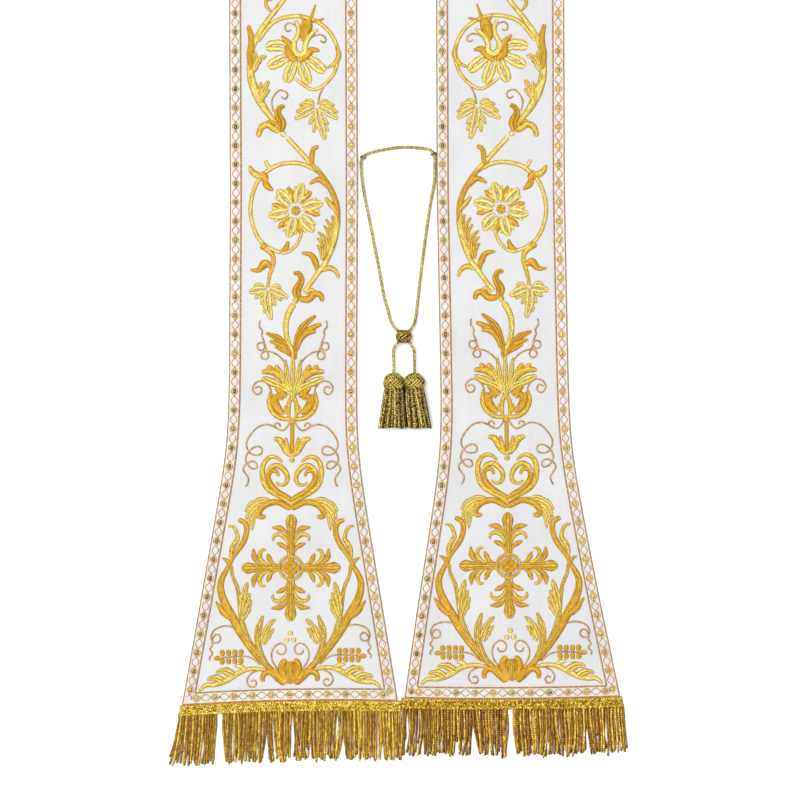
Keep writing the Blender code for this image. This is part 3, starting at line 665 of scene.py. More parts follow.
def pressed(tassel, leans, k):
    """The line of a strand that is pressed down beside the skirt."""
    reach = (k + 0.5) / PRESSED * PRESSED_REACH - 1.0
    start = (tassel.head_x + leans * (HEAD[0] + reach * 0.4 - 0.6), HEAD_Y - 1.0, 5.0)
    edge = tassel.skirt_half + reach
    halfway = (tassel.skirt_x + leans * edge * 0.88, PRESSED_BEND, 3.4)
    end = (tassel.skirt_x + leans * edge, SKIRT_BOTTOM + 1.6, 2.2)
    return smooth([start, halfway, end])


for side, tassel in TASSELS.items():
    chance = random.Random(f"skirt {side}")
    box = Workbox()
    bundle = smooth([(tassel.head_x, SKIRT_TOP + 2, HEAD[2]),
                     (tassel.skirt_x, SKIRT_BOTTOM + 2, SKIRT_REST)])
    broad = np.linspace(SKIRT_TOP_HALF[0] + 0.4, tassel.skirt_half - 0.4, len(bundle))
    # the bundle takes the lowest tone: painted shade inside the skirt
    box.sweep(bundle, ring_section(16), broad, BUNDLE_HIGH, tone=0.0)
    for ring in SKIRT_RINGS:
        for k in range(ring.count):
            tone = (k * 0.618) % 1.0  # the golden share, so that neighbours always differ
            lay_strand(box, hanging(tassel, ring, k, chance), SKIRT_STRAND, tone)
    # the pressed strands take the lowest tone: painted shade in the gap between the skirts
    for k in range(PRESSED):
        lay_strand(box, pressed(tassel, LEANS[side], k), SKIRT_STRAND, 0.0)
    box.make(f"tassel_skirt_{side}", tassel_bullion, "bullion")

# %% [markdown]
# A cord is a fixed length of something limp.

# %% The cords, declared with what is on them
for side in TASSELS:
    line = cord_lines[f"cord_tail_{side}"] * MM

# %% [markdown]
# ## The cloth
# Each panel is a stiff silk face on an interlining, cut as a straight band that flares towards its
# hem and turns in at the nape. The cut is kept as two small functions: how wide the band is at a
# height, and how far its middle lies from the stole's middle. Every other piece on the panel uses
# the same functions, so that braid and gold stay on the cloth. The cloth lies flat with a few very
# soft swells, which is all that an interlined panel has.

# %% The cut of a panel
CLOTH = 2.0  # the level of the cloth's face
HEM_LEVEL = -537.0  # where the hem lies along Y
HALF_WIDTH = 64.5
FLARE_START, FLARE_SLOPE, FLARE_SOFTNESS = 255.0, 0.1725, 20.0
TURN_HEIGHT, TURN_RADIUS, TURN_ANGLE = 933.0, 120.0, math.radians(60)
TURN_MIDDLE = 104.0  # how far out the band's middle lies where the nape's turn begins
SEAM_GAP = 0.15
CENTRE_HEIGHTS = [-80, 0, 98, 195, 314, 506, 698, 933]
CENTRE_LINE = {  # how far out the band's middle lies at these heights above the hem
    "left": [108.0, 107.3, 106.3, 105.6, 104.2, 103.2, 104.0, 104.0],
    "right": [118.2, 115.3, 112.2, 110.3, 107.6, 103.8, 103.0, 104.0],
}
HEM_LINE = {"left": (0.2, 0.4, -4.4), "right": (3.2, 2.2, 4.6)}  # inner end, middle, outer end
HEM_FADE = 150.0  # the height at which the hem's own line is no longer felt


def half_width(high):
    """Half the band's width: straight down to the flare, then wider, with a soft change."""
    spread = np.log1p(np.exp((FLARE_START - np.asarray(high, float)) / FLARE_SOFTNESS))
    return HALF_WIDTH + FLARE_SLOPE * FLARE_SOFTNESS * spread


def hem_rise(side, out, high):
    """The hem is not quite level: how far it lifts a point, fading out above it."""
    inner, middle, outer = HEM_LINE[side]
    f = out / half_width(np.maximum(high, 0.0))
    fade = np.clip(1 - high / HEM_FADE, 0.0, 1.0)
    return (middle + (outer - inner) / 2 * f + ((outer + inner) / 2 - middle) * f * f) * fade


def swell(x, y):
    """The cloth's soft unevenness, in millimetres."""
    return 0.16 * np.sin(x / 37 + 0.6) * np.sin(y / 53 + 1.1) + 0.10 * np.sin(y / 91 + x / 67)


def on_panel(side, out, high, level=0.0):
    """Where a point lies, in millimetres: so far out from the panel's middle, so high above its
    hem, and at this level over the cloth."""
    out, high, level = np.broadcast_arrays(*(np.asarray(v, float) for v in (out, high, level)))
    x = np.interp(high, CENTRE_HEIGHTS, CENTRE_LINE[side]) + out
    y = high + hem_rise(side, out, high)
    past = high - TURN_HEIGHT
    angle = np.clip(past / TURN_RADIUS, 0, TURN_ANGLE)
    after = np.maximum(past - TURN_RADIUS * TURN_ANGLE, 0)
    reach = TURN_RADIUS + out
    turned_x = TURN_MIDDLE - TURN_RADIUS + reach * np.cos(angle) - after * math.sin(TURN_ANGLE)
    turned_y = TURN_HEIGHT + reach * np.sin(angle) + after * math.cos(TURN_ANGLE)
    x, y = np.where(past > 0, turned_x, x), np.where(past > 0, turned_y, y) + HEM_LEVEL
    x = SIDES[side] * x
    return np.stack([x, y, CLOTH + swell(x, y) + level], axis=-1)


def seam_height(out):
    """How far along its middle the band goes before this line of it meets the nape seam."""
    x = TURN_MIDDLE - TURN_RADIUS + (TURN_RADIUS + out) * math.cos(TURN_ANGLE)
    return TURN_HEIGHT + TURN_RADIUS * TURN_ANGLE + (x - SEAM_GAP) / math.sin(TURN_ANGLE)


print("hem width:", round(float(2 * half_width(0)), 1), "mm; band:", 2 * HALF_WIDTH, "mm")

# %% [markdown]
# The white of the silk is a cool white with a dull surface. Close up it is a plain weave: fine
# threads both ways, a few thicker than the rest. Far off only faint clouds are left of it.


# %% Material: white silk
def white_silk():
    r = Recipe("white_silk", Roughness=0.62, Sheen_Weight=0.12, Sheen_Roughness=0.4,
               Specular_IOR_Level=0.35)
    warp = r.stripes(0.55 * MM, "X", wobble=0.15)
    weft = r.stripes(0.48 * MM, "Y", wobble=0.15)
    weave = r.calc("MULTIPLY", warp, weft)
    cloud = r.noise(0.05, 3.0)
    slub = r.noise(0.004, 2.0, r.add("Mapping", {"Vector": r.place, "Scale": (1.0, 0.12, 1.0)}))
    colour = r.ramp(r.weighed((cloud, 0.7), (slub, 0.3)),
                    (0.35, tint(194, 194, 195)), (0.62, tint(201, 201, 202)))
    colour = r.blend(r.calc("MULTIPLY", weave, 0.10), colour, tint(172, 171, 172))
    return r.finish(colour, r.calc("ADD", weave, r.calc("MULTIPLY", slub, 0.5)), 0.00012)


silk = white_silk()

# %% [markdown]
# A flat cloth starts as a grid: one face for every few millimetres, so that it can follow the
# curved edges and the swells. Each of the grid's points is moved to its place in the cut, then
# Solidify gives the cloth its thickness and a Bevel rounds the turned edge.

# %% The panels
COLUMNS, ROWS = 30, 240
CLOTH_THICK = 1.75
EDGE_ROUND, EDGE_ANGLE = 0.6, math.radians(50)
ARC_SHARE = 0.955  # the share of the rows that lie below the end of the neck's turn
arc_end = TURN_HEIGHT + TURN_RADIUS * TURN_ANGLE
for side, sign in SIDES.items():
    panel = started(bpy.ops.mesh.primitive_grid_add, x_subdivisions=COLUMNS, y_subdivisions=ROWS,
                    size=2)
    called(panel, f"cloth_{side}")
    grid = np.array([v.co for v in panel.data.vertices])
    share = (grid[:, 1] + 1) / 2
    high = np.minimum(share / ARC_SHARE, 1.0) * arc_end
    out = grid[:, 0] * half_width(high)
    past = np.clip((share - ARC_SHARE) / (1 - ARC_SHARE), 0, 1)
    high = high + past * (seam_height(out) - arc_end)
    panel.data.vertices.foreach_set("co", (on_panel(side, out, high) * MM).ravel())
    panel.data.update()
    if sign < 0:  # the left panel is a mirror image, so its faces look down until they are turned
        with edit_mode():
            bpy.ops.mesh.flip_normals()
    thick = panel.modifiers.new("thickness", "SOLIDIFY")
    thick.thickness, thick.offset = CLOTH_THICK * MM, -1.0
    bpy.ops.object.modifier_apply(modifier="thickness")
    turned = panel.modifiers.new("turned edge", "BEVEL")
    turned.width, turned.segments, turned.limit_method = EDGE_ROUND * MM, 2, "ANGLE"
    turned.angle_limit = EDGE_ANGLE
    bpy.ops.object.modifier_apply(modifier="turned edge")
    panel.data.materials.append(silk)
    finished(panel, [f"panel_{side}"])

# %% [markdown]
# ## The braid border
# The braid is a woven galloon about 12 mm wide. Its ground is cream. Two grey-brown threads run
# along it in waves, over and under each other, and every second eye between them holds a gold
# oval in a ring of pale yellow. An ochre cord finishes each edge. One braid goes all round a
# panel: up the outer edge, up the inner edge and along the hem, with mitred corners.
# The pieces of it are laid along rails, which are lines at a fixed distance from the edge.

# %% Rails for the braid
BRAID_EDGE, BRAID_WIDTH = 0.5, 12.0
BRAID_MIDDLE = BRAID_EDGE + BRAID_WIDTH / 2
RAIL_POINTS, HEM_POINTS = 500, 90


def edge_rail(side, edge, inset):
    """A line up a panel's edge from the hem's mitre to the nape seam, as (out, high)."""
    sign = 1 if edge == "outer" else -1
    end = float(seam_height(sign * (HALF_WIDTH - inset)))
    high = np.linspace(inset, end, RAIL_POINTS)
    return np.column_stack([sign * (half_width(high) - inset), high])


def hem_rail(inset):
    """A line along the hem from mitre to mitre, as (out, high)."""
    reach = float(half_width(inset)) - inset
    return np.column_stack([np.linspace(-reach, reach, HEM_POINTS), np.full(HEM_POINTS, inset)])


def border_rail(side, inset):
    """The whole border: down the inner edge, along the hem and up the outer edge."""
    return np.vstack([edge_rail(side, "inner", inset)[::-1], hem_rail(inset)[1:],
                      edge_rail(side, "outer", inset)[1:]])


def raised(side, rail, level):
    """The points of a rail, at this level over the cloth."""
    return on_panel(side, rail[:, 0], rail[:, 1], level)


outer_edge = raised("left", edge_rail("left", "outer", BRAID_MIDDLE), 0)
print("outer edge braid:", round(lengths_along(outer_edge)[-1]), "mm")


# %% [markdown]
# The ground of the braid is ribbed across. The lace threads and the ovals each have their own
# material: a dull silk, and a polished gilt.


# %% Materials of the braid
def braid_ground():
    r = Recipe("braid_ground", Roughness=0.7, Sheen_Weight=0.1)
    ribs = r.stripes(0.7, "Y", r.thread)
    cloud = r.noise(0.006, 3.0)
    colour = r.ramp(cloud, (0.35, tint(213, 201, 187)), (0.65, tint(224, 218, 207)))
    colour = r.blend(r.calc("MULTIPLY", ribs, 0.16), colour, tint(175, 154, 131))
    return r.finish(colour, ribs, 0.00015)


def silk_cord(name, dark, light, period=1.6, size=0.003):
    r = Recipe(name, Roughness=0.5, Metallic=0.1)
    twist = r.stripes(period, "DIAGONAL", r.thread)
    colour = r.ramp(r.noise(size, 3.0), (0.36, dark), (0.62, light))
    colour = r.blend(r.calc("MULTIPLY", twist, 0.3), colour, dark)
    return r.finish(colour, twist, 0.0002)


def gilt():
    r = Recipe("gilt_oval", Roughness=0.3, Metallic=0.6)
    # painted glints: the facets and clouds run the colour from dark to bright, and the tone given to
    # each border adds its painted light or shade
    facets = r.add("TexVoronoi", {"Vector": r.place, "Scale": 900.0}, out=0)
    cloud = r.calc("ADD", r.noise(0.03, 2.0), r.calc("MULTIPLY", r.mark("tone"), 0.8))
    colour = r.ramp(r.weighed((facets, 0.4), (cloud, 0.5)), (0.36, tint(80, 55, 15)),
                    (0.56, tint(158, 116, 28)), (0.86, tint(234, 200, 91)))
    return r.finish(colour, facets, 0.0003)


ground = braid_ground()
ochre_cord = silk_cord("ochre_cord", tint(133, 89, 40), tint(182, 135, 66))
lace_thread = silk_cord("lace_thread", tint(116, 103, 93), tint(163, 150, 139), 1.2)
ring_thread = silk_cord("ring_thread", tint(196, 167, 110), tint(220, 201, 158), 1.2)
gilding = gilt()

# %% [markdown]
# The ground could be a curve with a flat bevel, but that would pinch at the mitred corners. Five
# rails at fixed distances from the edge turn the corners together, so the strip runs on them. The
# edge cords run on two more.

# %% The braid's ground and its edge cords
STRIP = np.array([(-1.0, 0.0), (-0.96, 0.75), (0.0, 1.0), (0.96, 0.75), (1.0, 0.0)])
GROUND_HALF = 5.4
GROUND_LEVEL, GROUND_THICK = 0.1, 0.45
RIM_CORD, INNER_CORD = 0.6, 0.8  # half widths
CORD_AT = {BRAID_EDGE + RIM_CORD: RIM_CORD, BRAID_EDGE + BRAID_WIDTH - INNER_CORD: INNER_CORD}

for side in SIDES:
    box = Workbox()
    lines = [raised(side, border_rail(side, BRAID_MIDDLE + share * GROUND_HALF),
                    GROUND_LEVEL + GROUND_THICK * rise) for share, rise in STRIP]
    box.tube(np.stack(lines, axis=1), STRIP, lengths_along(lines[len(STRIP) // 2]), 0.5)
    names = [f"braid_{part}_{side}" for part in ("outer", "inner", "hem")]
    box.make(f"braid_ground_{side}", ground, "braid", names)
    box = Workbox()
    for inset, cord in CORD_AT.items():
        line = even(raised(side, border_rail(side, inset), 0.45), 2.2)
        box.sweep(line, ROUND, cord, cord * 0.8)
    box.make(f"braid_cords_{side}", ochre_cord, "braid")

# %% [markdown]
# The lace threads are sines along the rail. They swing opposite ways, and one rises where the other
# sinks. An oval and its ring are modelled once, from a sphere and a torus, and a copy of each is set
# down in every second eye.

# %% Sizes of the waves, rings and ovals
EYE = {"outer": 9.45, "inner": 9.45, "hem": 9.33}  # the length of an eye between two crossings
OVAL_AT = 310.3  # the height of one of the ovals on the edge braids
WAVE = 3.3  # how far the lace threads swing to each side
LACE, LACE_STEP = 0.46, 1.15
LACE_LEVEL, LACE_LIFT = 0.68, 0.15  # its height, and how much it goes over and under
OVAL = (1.95, 2.85, 0.75)  # half sizes: across, along, up
OVAL_RING, RING_THREAD = (2.75, 3.65, 3.0), 0.17
OVAL_LEVEL, RING_LEVEL = 0.55, 0.6
# the ovals' tone on each border: darker on each panel's left-hand border, as painted shade from the
# way the light falls, lighter on the others as painted light
GLEAM = {"left": {"outer": 0.05, "inner": 0.45, "hem": 0.35},
         "right": {"outer": 0.45, "inner": 0.05, "hem": 0.35}}
UP = (0, 0, 1.0)


# %% An oval and its ring, modelled once
def blank_of(primitive, half, upper=False):
    """The primitive resized to a blank; its lower half is cut away if asked."""
    with edit_mode():
        if upper:
            bpy.ops.mesh.bisect(plane_co=(0, 0, -0.05), plane_no=(0, 0, 1), use_fill=True,
                                clear_inner=True)
            bpy.ops.mesh.select_all(action="SELECT")
        bpy.ops.transform.resize(value=half)
    return taken(primitive)


ball = started(bpy.ops.mesh.primitive_uv_sphere_add, segments=10, ring_count=6, radius=1.0)
oval = blank_of(ball, OVAL, upper=True)
torus = started(bpy.ops.mesh.primitive_torus_add, major_radius=1.0, minor_radius=RING_THREAD,
                major_segments=16, minor_segments=4)
oval_ring = blank_of(torus, OVAL_RING)
print("an oval has", len(oval[1]), "faces and its ring", len(oval_ring[1]))


# %% The waves, rings and ovals
def set_down(place, ahead, level):
    """A function that puts a blank's points at a place, its Y along this direction."""
    turned_to = np.array([np.cross(ahead, UP), ahead, UP])
    return lambda points: place + (0, 0, level) + points @ turned_to


def lace_line(flat, run, phase, swing):
    """One of the two threads: it swings to and fro, and goes over and under at the crossings."""
    sway = swing * WAVE * np.sin(phase)
    over = LACE_LEVEL + LACE_LIFT * swing * np.sin(2 * phase + math.pi / 2)
    across = np.cross(headings(flat, run), UP)
    return at(flat, run) + sway[:, None] * across + over[:, None] * UP


for side in SIDES:
    lace, gold_ovals, rings = Workbox(), Workbox(), Workbox()
    for part, eye in EYE.items():
        hem = part == "hem"
        rail = hem_rail(BRAID_MIDDLE) if hem else edge_rail(side, part, BRAID_MIDDLE)
        flat = raised(side, rail, 0.0)
        total = lengths_along(flat)[-1]
        anchor = total / 2 if hem else np.interp(OVAL_AT, rail[:, 1], lengths_along(flat))
        run = np.arange(1.0, total - 1.0, LACE_STEP)
        phase = (run - anchor) / eye * math.pi + math.pi / 2
        for swing in (1, -1):
            lace.sweep(lace_line(flat, run, phase, swing), ring_section(4), LACE, LACE)
        spots = np.arange(anchor % (2 * eye), total - 2.0, 2 * eye)
        for place, way in zip(at(flat, spots), headings(flat, spots)):
            gold_ovals.copy(oval, set_down(place, way, OVAL_LEVEL), GLEAM[side][part])
            rings.copy(oval_ring, set_down(place, way, RING_LEVEL))
    lace.make(f"braid_lace_{side}", lace_thread, "braid")
    gold_ovals.make(f"braid_ovals_{side}", gilding, "gold_thread")
    rings.make(f"braid_rings_{side}", ring_thread, "braid")

# %% [markdown]
# ## The fringe
# A bullion fringe is made in one with its heading: a narrow woven strip of glittering gold, from
# whose lower edge the strands hang. The strands are drawn together in clumps of three to six and
# fall apart here and there, so the plan below gives each strand its root, its lean and its length.
# A second layer lies under the first, half a strand to the side, and a short third one closes
# the roots, so that the fringe is dense at the heading and opens in points at its foot.

# %% The plan of the strands, much as in the solid
STRANDS = 70
STRAND_WIDTH = 2.2
STRAND_LENGTH, LENGTH_SPREAD = 49.0, 2.5
HEADING_DEPTH, HEADING_OVERHANG = 9.5, 1.5
CLUMPS, CLUMP_DRAW = (3, 4, 5, 6), 0.2  # how many strands, and how much they draw together
PARTING_REACH, SPLAY_REACH = 20.0, 9.0  # how far away a parting and a splayed corner are felt
PARTINGS = {  # where the fringe has fallen open, and how wide
    "left": [(69.5, 6.0), (21, 6.0), (-53, 5.0)],
    "right": [(-3.5, 6.5), (-40.5, 8.0), (36.5, 5.0), (73.5, 6.0)],
}
SPLAY = {"left": (1.0, 10.0), "right": (1.0, 2.0)}  # at the inner and the outer corner


def pushed(out, place, opening, reach):
    """How far an opening at a place pushes aside the strand that is rooted here."""
    away = out - place
    return math.copysign(opening / 2 * math.exp(-abs(away) / reach), away)


def strand_lean(side, out):
    """How far aside a strand's end lies, from the partings and the splayed corners."""
    lean = 0.0
    for place, opening in PARTINGS[side]:
        lean += pushed(out, place, opening, PARTING_REACH)
    half, (inner, outer) = float(half_width(0)), SPLAY[side]
    lean += outer * math.exp(-(half - out) / SPLAY_REACH)
    return lean - inner * math.exp(-(half + out) / SPLAY_REACH)


def strand_plan(side):
    """Root, lean and length of every strand, clump by clump."""
    chance = random.Random(f"fringe {side}")
    reach = float(half_width(0)) + HEADING_OVERHANG - STRAND_WIDTH / 2
    pitch = 2 * reach / (STRANDS - 1)
    plan = []
    while len(plan) < STRANDS:
        clump = min(chance.choice(CLUMPS), STRANDS - len(plan))
        middle = -reach + pitch * (len(plan) + (clump - 1) / 2)
        for _ in range(clump):
            root = -reach + pitch * len(plan)
            lean = strand_lean(side, root) + CLUMP_DRAW * (middle - root)
            plan.append((root, lean, STRAND_LENGTH + LENGTH_SPREAD * chance.uniform(-1, 1)))
    return plan


print("strands in each layer:", len(strand_plan("left")))

# %% [markdown]
# The fringe is the same kind of bullion as the tassels, but lighter and with longer dashes. The
# heading is woven tight from the same wire, which breaks its shine up into small facets; that
# glitter is painted highlight, and the sides of its cords are painted dark as the shade between them.

# %% Materials: fringe bullion and the woven heading
FRINGE_SHADES = tint(62, 35, 8), tint(129, 90, 34), tint(170, 128, 48), tint(242, 212, 84)
bullion = bullion_material("fringe_bullion", FRINGE_SHADES,
                           (0.35, 0.44, 0.54, 0.67), (0.38, 0.40, 0.2), 8.0)


def heading_gold(name, dim):
    """Tightly woven gold whose glitter in small facets is painted highlight; dim makes all of it
    darker.
    """
    r = Recipe(name, Roughness=0.3, Metallic=0.8)
    sparks = r.add("TexVoronoi", {"Vector": r.place, "Scale": 620.0}, out=1)
    facet = r.add("SeparateXYZ", {0: sparks})
    zigzag = r.stripes(1.4, "DIAGONAL", r.thread)
    mixed = r.weighed((facet, 0.36), (r.noise(0.0014, 3.0), 0.38), (zigzag, 0.26))
    mixed = r.calc("SUBTRACT", mixed, dim)
    colour = r.ramp(mixed, (0.28, tint(98, 64, 8)), (0.42, tint(196, 154, 24)),
                    (0.58, tint(236, 204, 54)), (0.76, tint(250, 240, 168)))
    # painted shade: the sides of the cords are darkened, for the grooves between them
    groove_shade = r.calc("MULTIPLY", r.band(r.across(), 0.45, 0.95), 0.85)
    colour = r.blend(groove_shade, colour, tint(104, 70, 10))
    return r.finish(colour, r.calc("ADD", facet, zigzag), 0.0003)


heading_golds = {"left": heading_gold("heading_gold", 0.0),
                 "right": heading_gold("heading_dim", 0.05)}

# %% [markdown]
# The strands could be hair, but hair doesn't export. Each one is a copy of the strand that was
# modelled for the tassels, bent along its own line from under the heading to its free end.

# %% The strands, three layers to a hem
HEM_GAP = 0.3
HIDDEN = 3.0  # how far a strand starts under the heading
# A layer's height and how far it sinks, its strands' radius, their shift in steps of the plan,
# the range of their tones, and how much shorter they are. The layers under the one that shows
# have lower tones, as painted shade under the top strands.
Layer = namedtuple("Layer", "level drop radius shift tones short")
LAYERS = [  # the short one at the roots, the one underneath, and the one that shows
    Layer(1.3, 0.1, 1.15, 0.25, (0.1, 0.4), 15.0),
    Layer(0.9, 0.2, 1.1, 0.5, (0.1, 0.6), 2.0),
    Layer(2.0, 1.5, 1.16, 0.0, (0.3, 1.0), 0.0),
]
BRIGHTER = {"left": 0.22, "right": 0.02}
BARE = {"left": (70, 5.6), "right": (-3, 7.0)}  # the one parting that goes up to the heading
BARE_REACH = 5.0
HEADING_MEET = 1.15  # at the middle the two hems come close to each other
DRAWN_IN, DRAWN_REACH = {"left": 2.0, "right": 4.5}, 12.0  # the strands there lean inwards
HEM_TRIM = {"left": -0.8, "right": 2.0}  # how much shorter the strands of a hem are cut


def strand_line(side, layer, pitch, planned, chance):
    """The line of a strand in one layer, a little different from what was planned."""
    root, lean, length = planned
    root += layer.shift * pitch
    root += pushed(root, *BARE[side], BARE_REACH)
    near_middle = math.exp(-(float(half_width(0)) + root) / DRAWN_REACH)
    root -= HEADING_MEET * near_middle
    lean += chance.gauss(0, 0.8) - DRAWN_IN[side] * near_middle
    length += chance.uniform(-2.0, 1.2) - layer.short * chance.uniform(0.6, 1.0) - HEM_TRIM[side]
    bend = chance.gauss(0, 1.0)
    fall = np.linspace(0, 1, 11)
    out = root + lean * fall**1.9 + bend * np.sin(fall * math.pi)
    out = out + 0.5 * np.sin(fall * 7 + root * 2) * fall
    line = on_panel(side, out, HIDDEN - HEM_GAP - HEADING_DEPTH - (length + HIDDEN) * fall)
    level = layer.level - layer.drop * 0.4 * fall + 0.35 * np.sin(fall * 5 + root * 3)
    line[:, 2] = np.maximum(level, layer.radius + 0.05)
    return line


for side in SIDES:
    box = Workbox()
    plan = strand_plan(side)
    pitch = plan[1][0] - plan[0][0]
    for layer in LAYERS:
        chance = random.Random(f"bullion {side} {layer.level}")
        dull, bright = layer.tones
        for planned in plan:
            line = strand_line(side, layer, pitch, planned, chance)
            tone = dull + (bright - dull) * chance.random() ** 1.6 + BRIGHTER[side]
            lay_strand(box, line, layer.radius, tone)
    box.make(f"fringe_strands_{side}", bullion, "bullion", [f"fringe_{side}"])

# %% [markdown]
# Across the heading cords sway in pairs, half a turn apart and one up where the other is down, which
# reads as a plait. They lie on a flat strip, as they would in a real one. A cord of the braid's
# ochre covers the seam between the hem and the heading.

# %% The heading: a flat strip with a rope along its top, plaits across it, and a hem cord over it
PLAIT_PITCH = 4.2
PLAIT_ROWS, PLAIT_SWAY, PLAIT_LIFT = (3.1, 5.9), 1.25, 0.3  # in millimetres under the hem
FOOT_ROW, FOOT_SWAY = 8.6, 0.75
STRIP_THICK = 0.6
ROPE = 0.85


def heading_line(side, drop, level, sway=0.0, phase=0.0, lift=0.0, step=0.7):
    """A line along the heading, this far under the hem, swaying and rising as it goes."""
    reach = float(half_width(0)) + HEADING_OVERHANG
    out = np.arange(-reach - HEADING_MEET, reach + step / 2, step)
    turn = out / PLAIT_PITCH * math.tau + phase
    line = on_panel(side, out, -HEM_GAP - drop + sway * np.sin(turn))
    line[:, 2] = level + lift * np.sin(2 * turn + math.pi / 2)
    return line


for side in SIDES:
    box = Workbox()
    flat = [(-1.0, -1.0), (1.0, -1.0), (1.0, 1.0), (-1.0, 1.0)]
    middle = HEADING_DEPTH / 2
    box.sweep(even(heading_line(side, middle, 1.4), 6.0), flat, middle, STRIP_THICK)
    box.sweep(even(heading_line(side, 0.95, 2.2), 1.2), FINE_ROUND, ROPE, ROPE)
    for row, drop in enumerate(PLAIT_ROWS):
        for k, lift in enumerate((PLAIT_LIFT, -PLAIT_LIFT)):
            line = heading_line(side, drop, 2.35, PLAIT_SWAY, k * math.pi + row * 1.3, lift)
            box.sweep(line, ROUND, 0.72, 0.6, 0.4 + k * 0.3)
    for k, lift in enumerate((-PLAIT_LIFT, PLAIT_LIFT)):
        line = heading_line(side, FOOT_ROW, 2.5, FOOT_SWAY, k * math.pi, lift, 0.6)
        box.sweep(line, ROUND, 0.75, 0.6)
    box.make(f"fringe_heading_{side}", heading_golds[side], "bullion")
    box = Workbox()
    box.sweep(even(heading_line(side, -0.15, 2.7), 1.5), ROUND, 0.8, 0.6)
    box.make(f"hem_cord_{side}", ochre_cord, "braid")

# %% [markdown]
# ## The thread loops
# The tie runs through a small loop of dark thread at each panel's inner edge. The loop is a torus
# that faces along the cord, and the stitches that hold it down are a small ball joined to it.

# %% The thread loops at the inner edges
LOOP_RADIUS, LOOP_THREAD = 2.6, 0.9
FOOT_RADIUS, FOOT_OUT = 1.7, 2.4  # the stitched foot, and how far from the loop's middle it is
LOOP_AT = {"left": 7, "right": 14}  # the knot of the tie that each loop goes round
loop_thread = silk_cord("loop_thread", tint(42, 34, 32), tint(91, 80, 68), 1.0, 0.002)
solid_route = even(smooth(tie_knots, 200), CORD_STEP)
for side in SIDES:
    knot = np.array(TIE_KNOTS[LOOP_AT[side]])
    nearest = min(zip(solid_route, solid_route[1:]),
                  key=lambda ends: np.linalg.norm((ends[0] + ends[1]) / 2 - knot))
    centre, way = Vector((nearest[0] + nearest[1]) / 2), Vector(nearest[1] - nearest[0])
    loop = started(bpy.ops.mesh.primitive_torus_add, location=centre * MM,
                   rotation=way.to_track_quat("Z", "Y").to_euler(),
                   major_radius=LOOP_RADIUS * MM, minor_radius=LOOP_THREAD / 2 * MM,
                   major_segments=36, minor_segments=10)
    bpy.ops.object.transform_apply(location=True, rotation=True)
    foot = centre + Vector((SIDES[side] * FOOT_OUT, 0, 0))
    bpy.ops.mesh.primitive_uv_sphere_add(segments=16, ring_count=10, radius=FOOT_RADIUS * MM,
                                         location=foot * MM)
    bpy.ops.object.transform_apply(location=True)
    loop.select_set(True)
    bpy.context.view_layer.objects.active = loop
    bpy.ops.object.join()
    loop.data.materials.append(loop_thread)
    finished(called(loop, f"thread_loop_{side}"), [f"loop_{side}"])

# %% [markdown]
# ## The goldwork
# Each part of the pattern is one padded stroke: satin stitches laid across a core of felt, higher
# where the stroke is wider, with a fine brown cord couched round it. Stems are plain, leaves have
# a sunk vein and some have a lobed edge, tendrils are a single couched cord. So a stroke is
# written as its look, the line of its middle and its widths from start to end, in millimetres out
# from the panel's middle line and up from its hem.

# %% Looks of the strokes
# A look's tone from orange, 0, to pale gold, 1; its sunk veins; and the lobes of its edge.
Look = namedtuple("Look", "tone veins lobes")
LOOKS = {
    "orange": Look(0.0, 0, 0),
    "orange leaf": Look(0.05, 1, 0),
    "gold": Look(0.35, 0, 0),
    "reeded": Look(0.4, 2, 0),
    "yellow": Look(0.6, 0, 0),
    "stem": Look(0.85, 0, 0),
    "ribbed": Look(0.7, 2, 0),
    "leaf": Look(0.82, 1, 3),
    "finger": Look(0.7, 1, 0),
    "pale": Look(1.0, 0, 0),
    "petal": Look(1.0, 0, 3),
    "pale leaf": Look(0.95, 1, 3),
    "pale finger": Look(0.95, 1, 0),
    "blade": Look(0.9, 1, 2),
}
SECTIONS = [  # by the number of veins
    [(-1, 0), (-0.9, 0.5), (-0.55, 0.88), (0, 1), (0.55, 0.88), (0.9, 0.5), (1, 0)],
    [(-1, 0), (-0.9, 0.55), (-0.5, 1), (-0.16, 0.78), (0, 0.4), (0.16, 0.78), (0.5, 1),
     (0.9, 0.55), (1, 0)],
    [(-1, 0), (-0.9, 0.55), (-0.62, 0.9), (-0.36, 0.6), (-0.14, 0.95), (0.14, 0.95), (0.36, 0.6),
     (0.62, 0.9), (0.9, 0.55), (1, 0)],
]  # fmt: skip
BORDER = [(-1, 0), (-0.86, 1), (0.86, 1), (1, 0)]
print(len(LOOKS), "looks")

# %% How a stroke lies
STITCH_STEP = 1.3
OVERLAP = 0.02  # each stroke lies a little higher than the last, so that no two are level
RISE, PADDING = 0.4, 0.15  # the height of the thinnest stroke, and what its width adds
OUTLINE = 0.45  # how far the brown cord stands out round a stroke
TWINE = 0.82  # half the width of a tendril's cord
LOBE_DEPTH, LOBE_SWELL = 0.24, 1.6  # how deep a lobed edge is cut, and how far its lobes swell
PILE, PILE_LIMIT = 0.6, 1.5  # how much of what lies under it lifts a stroke, and at most how far


def widths_at(share, widths):
    """The width at each share of the way along a stroke."""
    return np.interp(share, np.linspace(0, 1, len(widths)), widths)


def rounded(widths, run):
    """Half widths that close in a round at both ends of a stroke."""
    half = widths / 2
    left = np.minimum(run, run[-1] - run)
    cap = np.clip(left / np.maximum(half, 0.3), 0, 1)
    return np.maximum(half * np.sqrt(1 - (1 - cap) ** 2), 0.12)


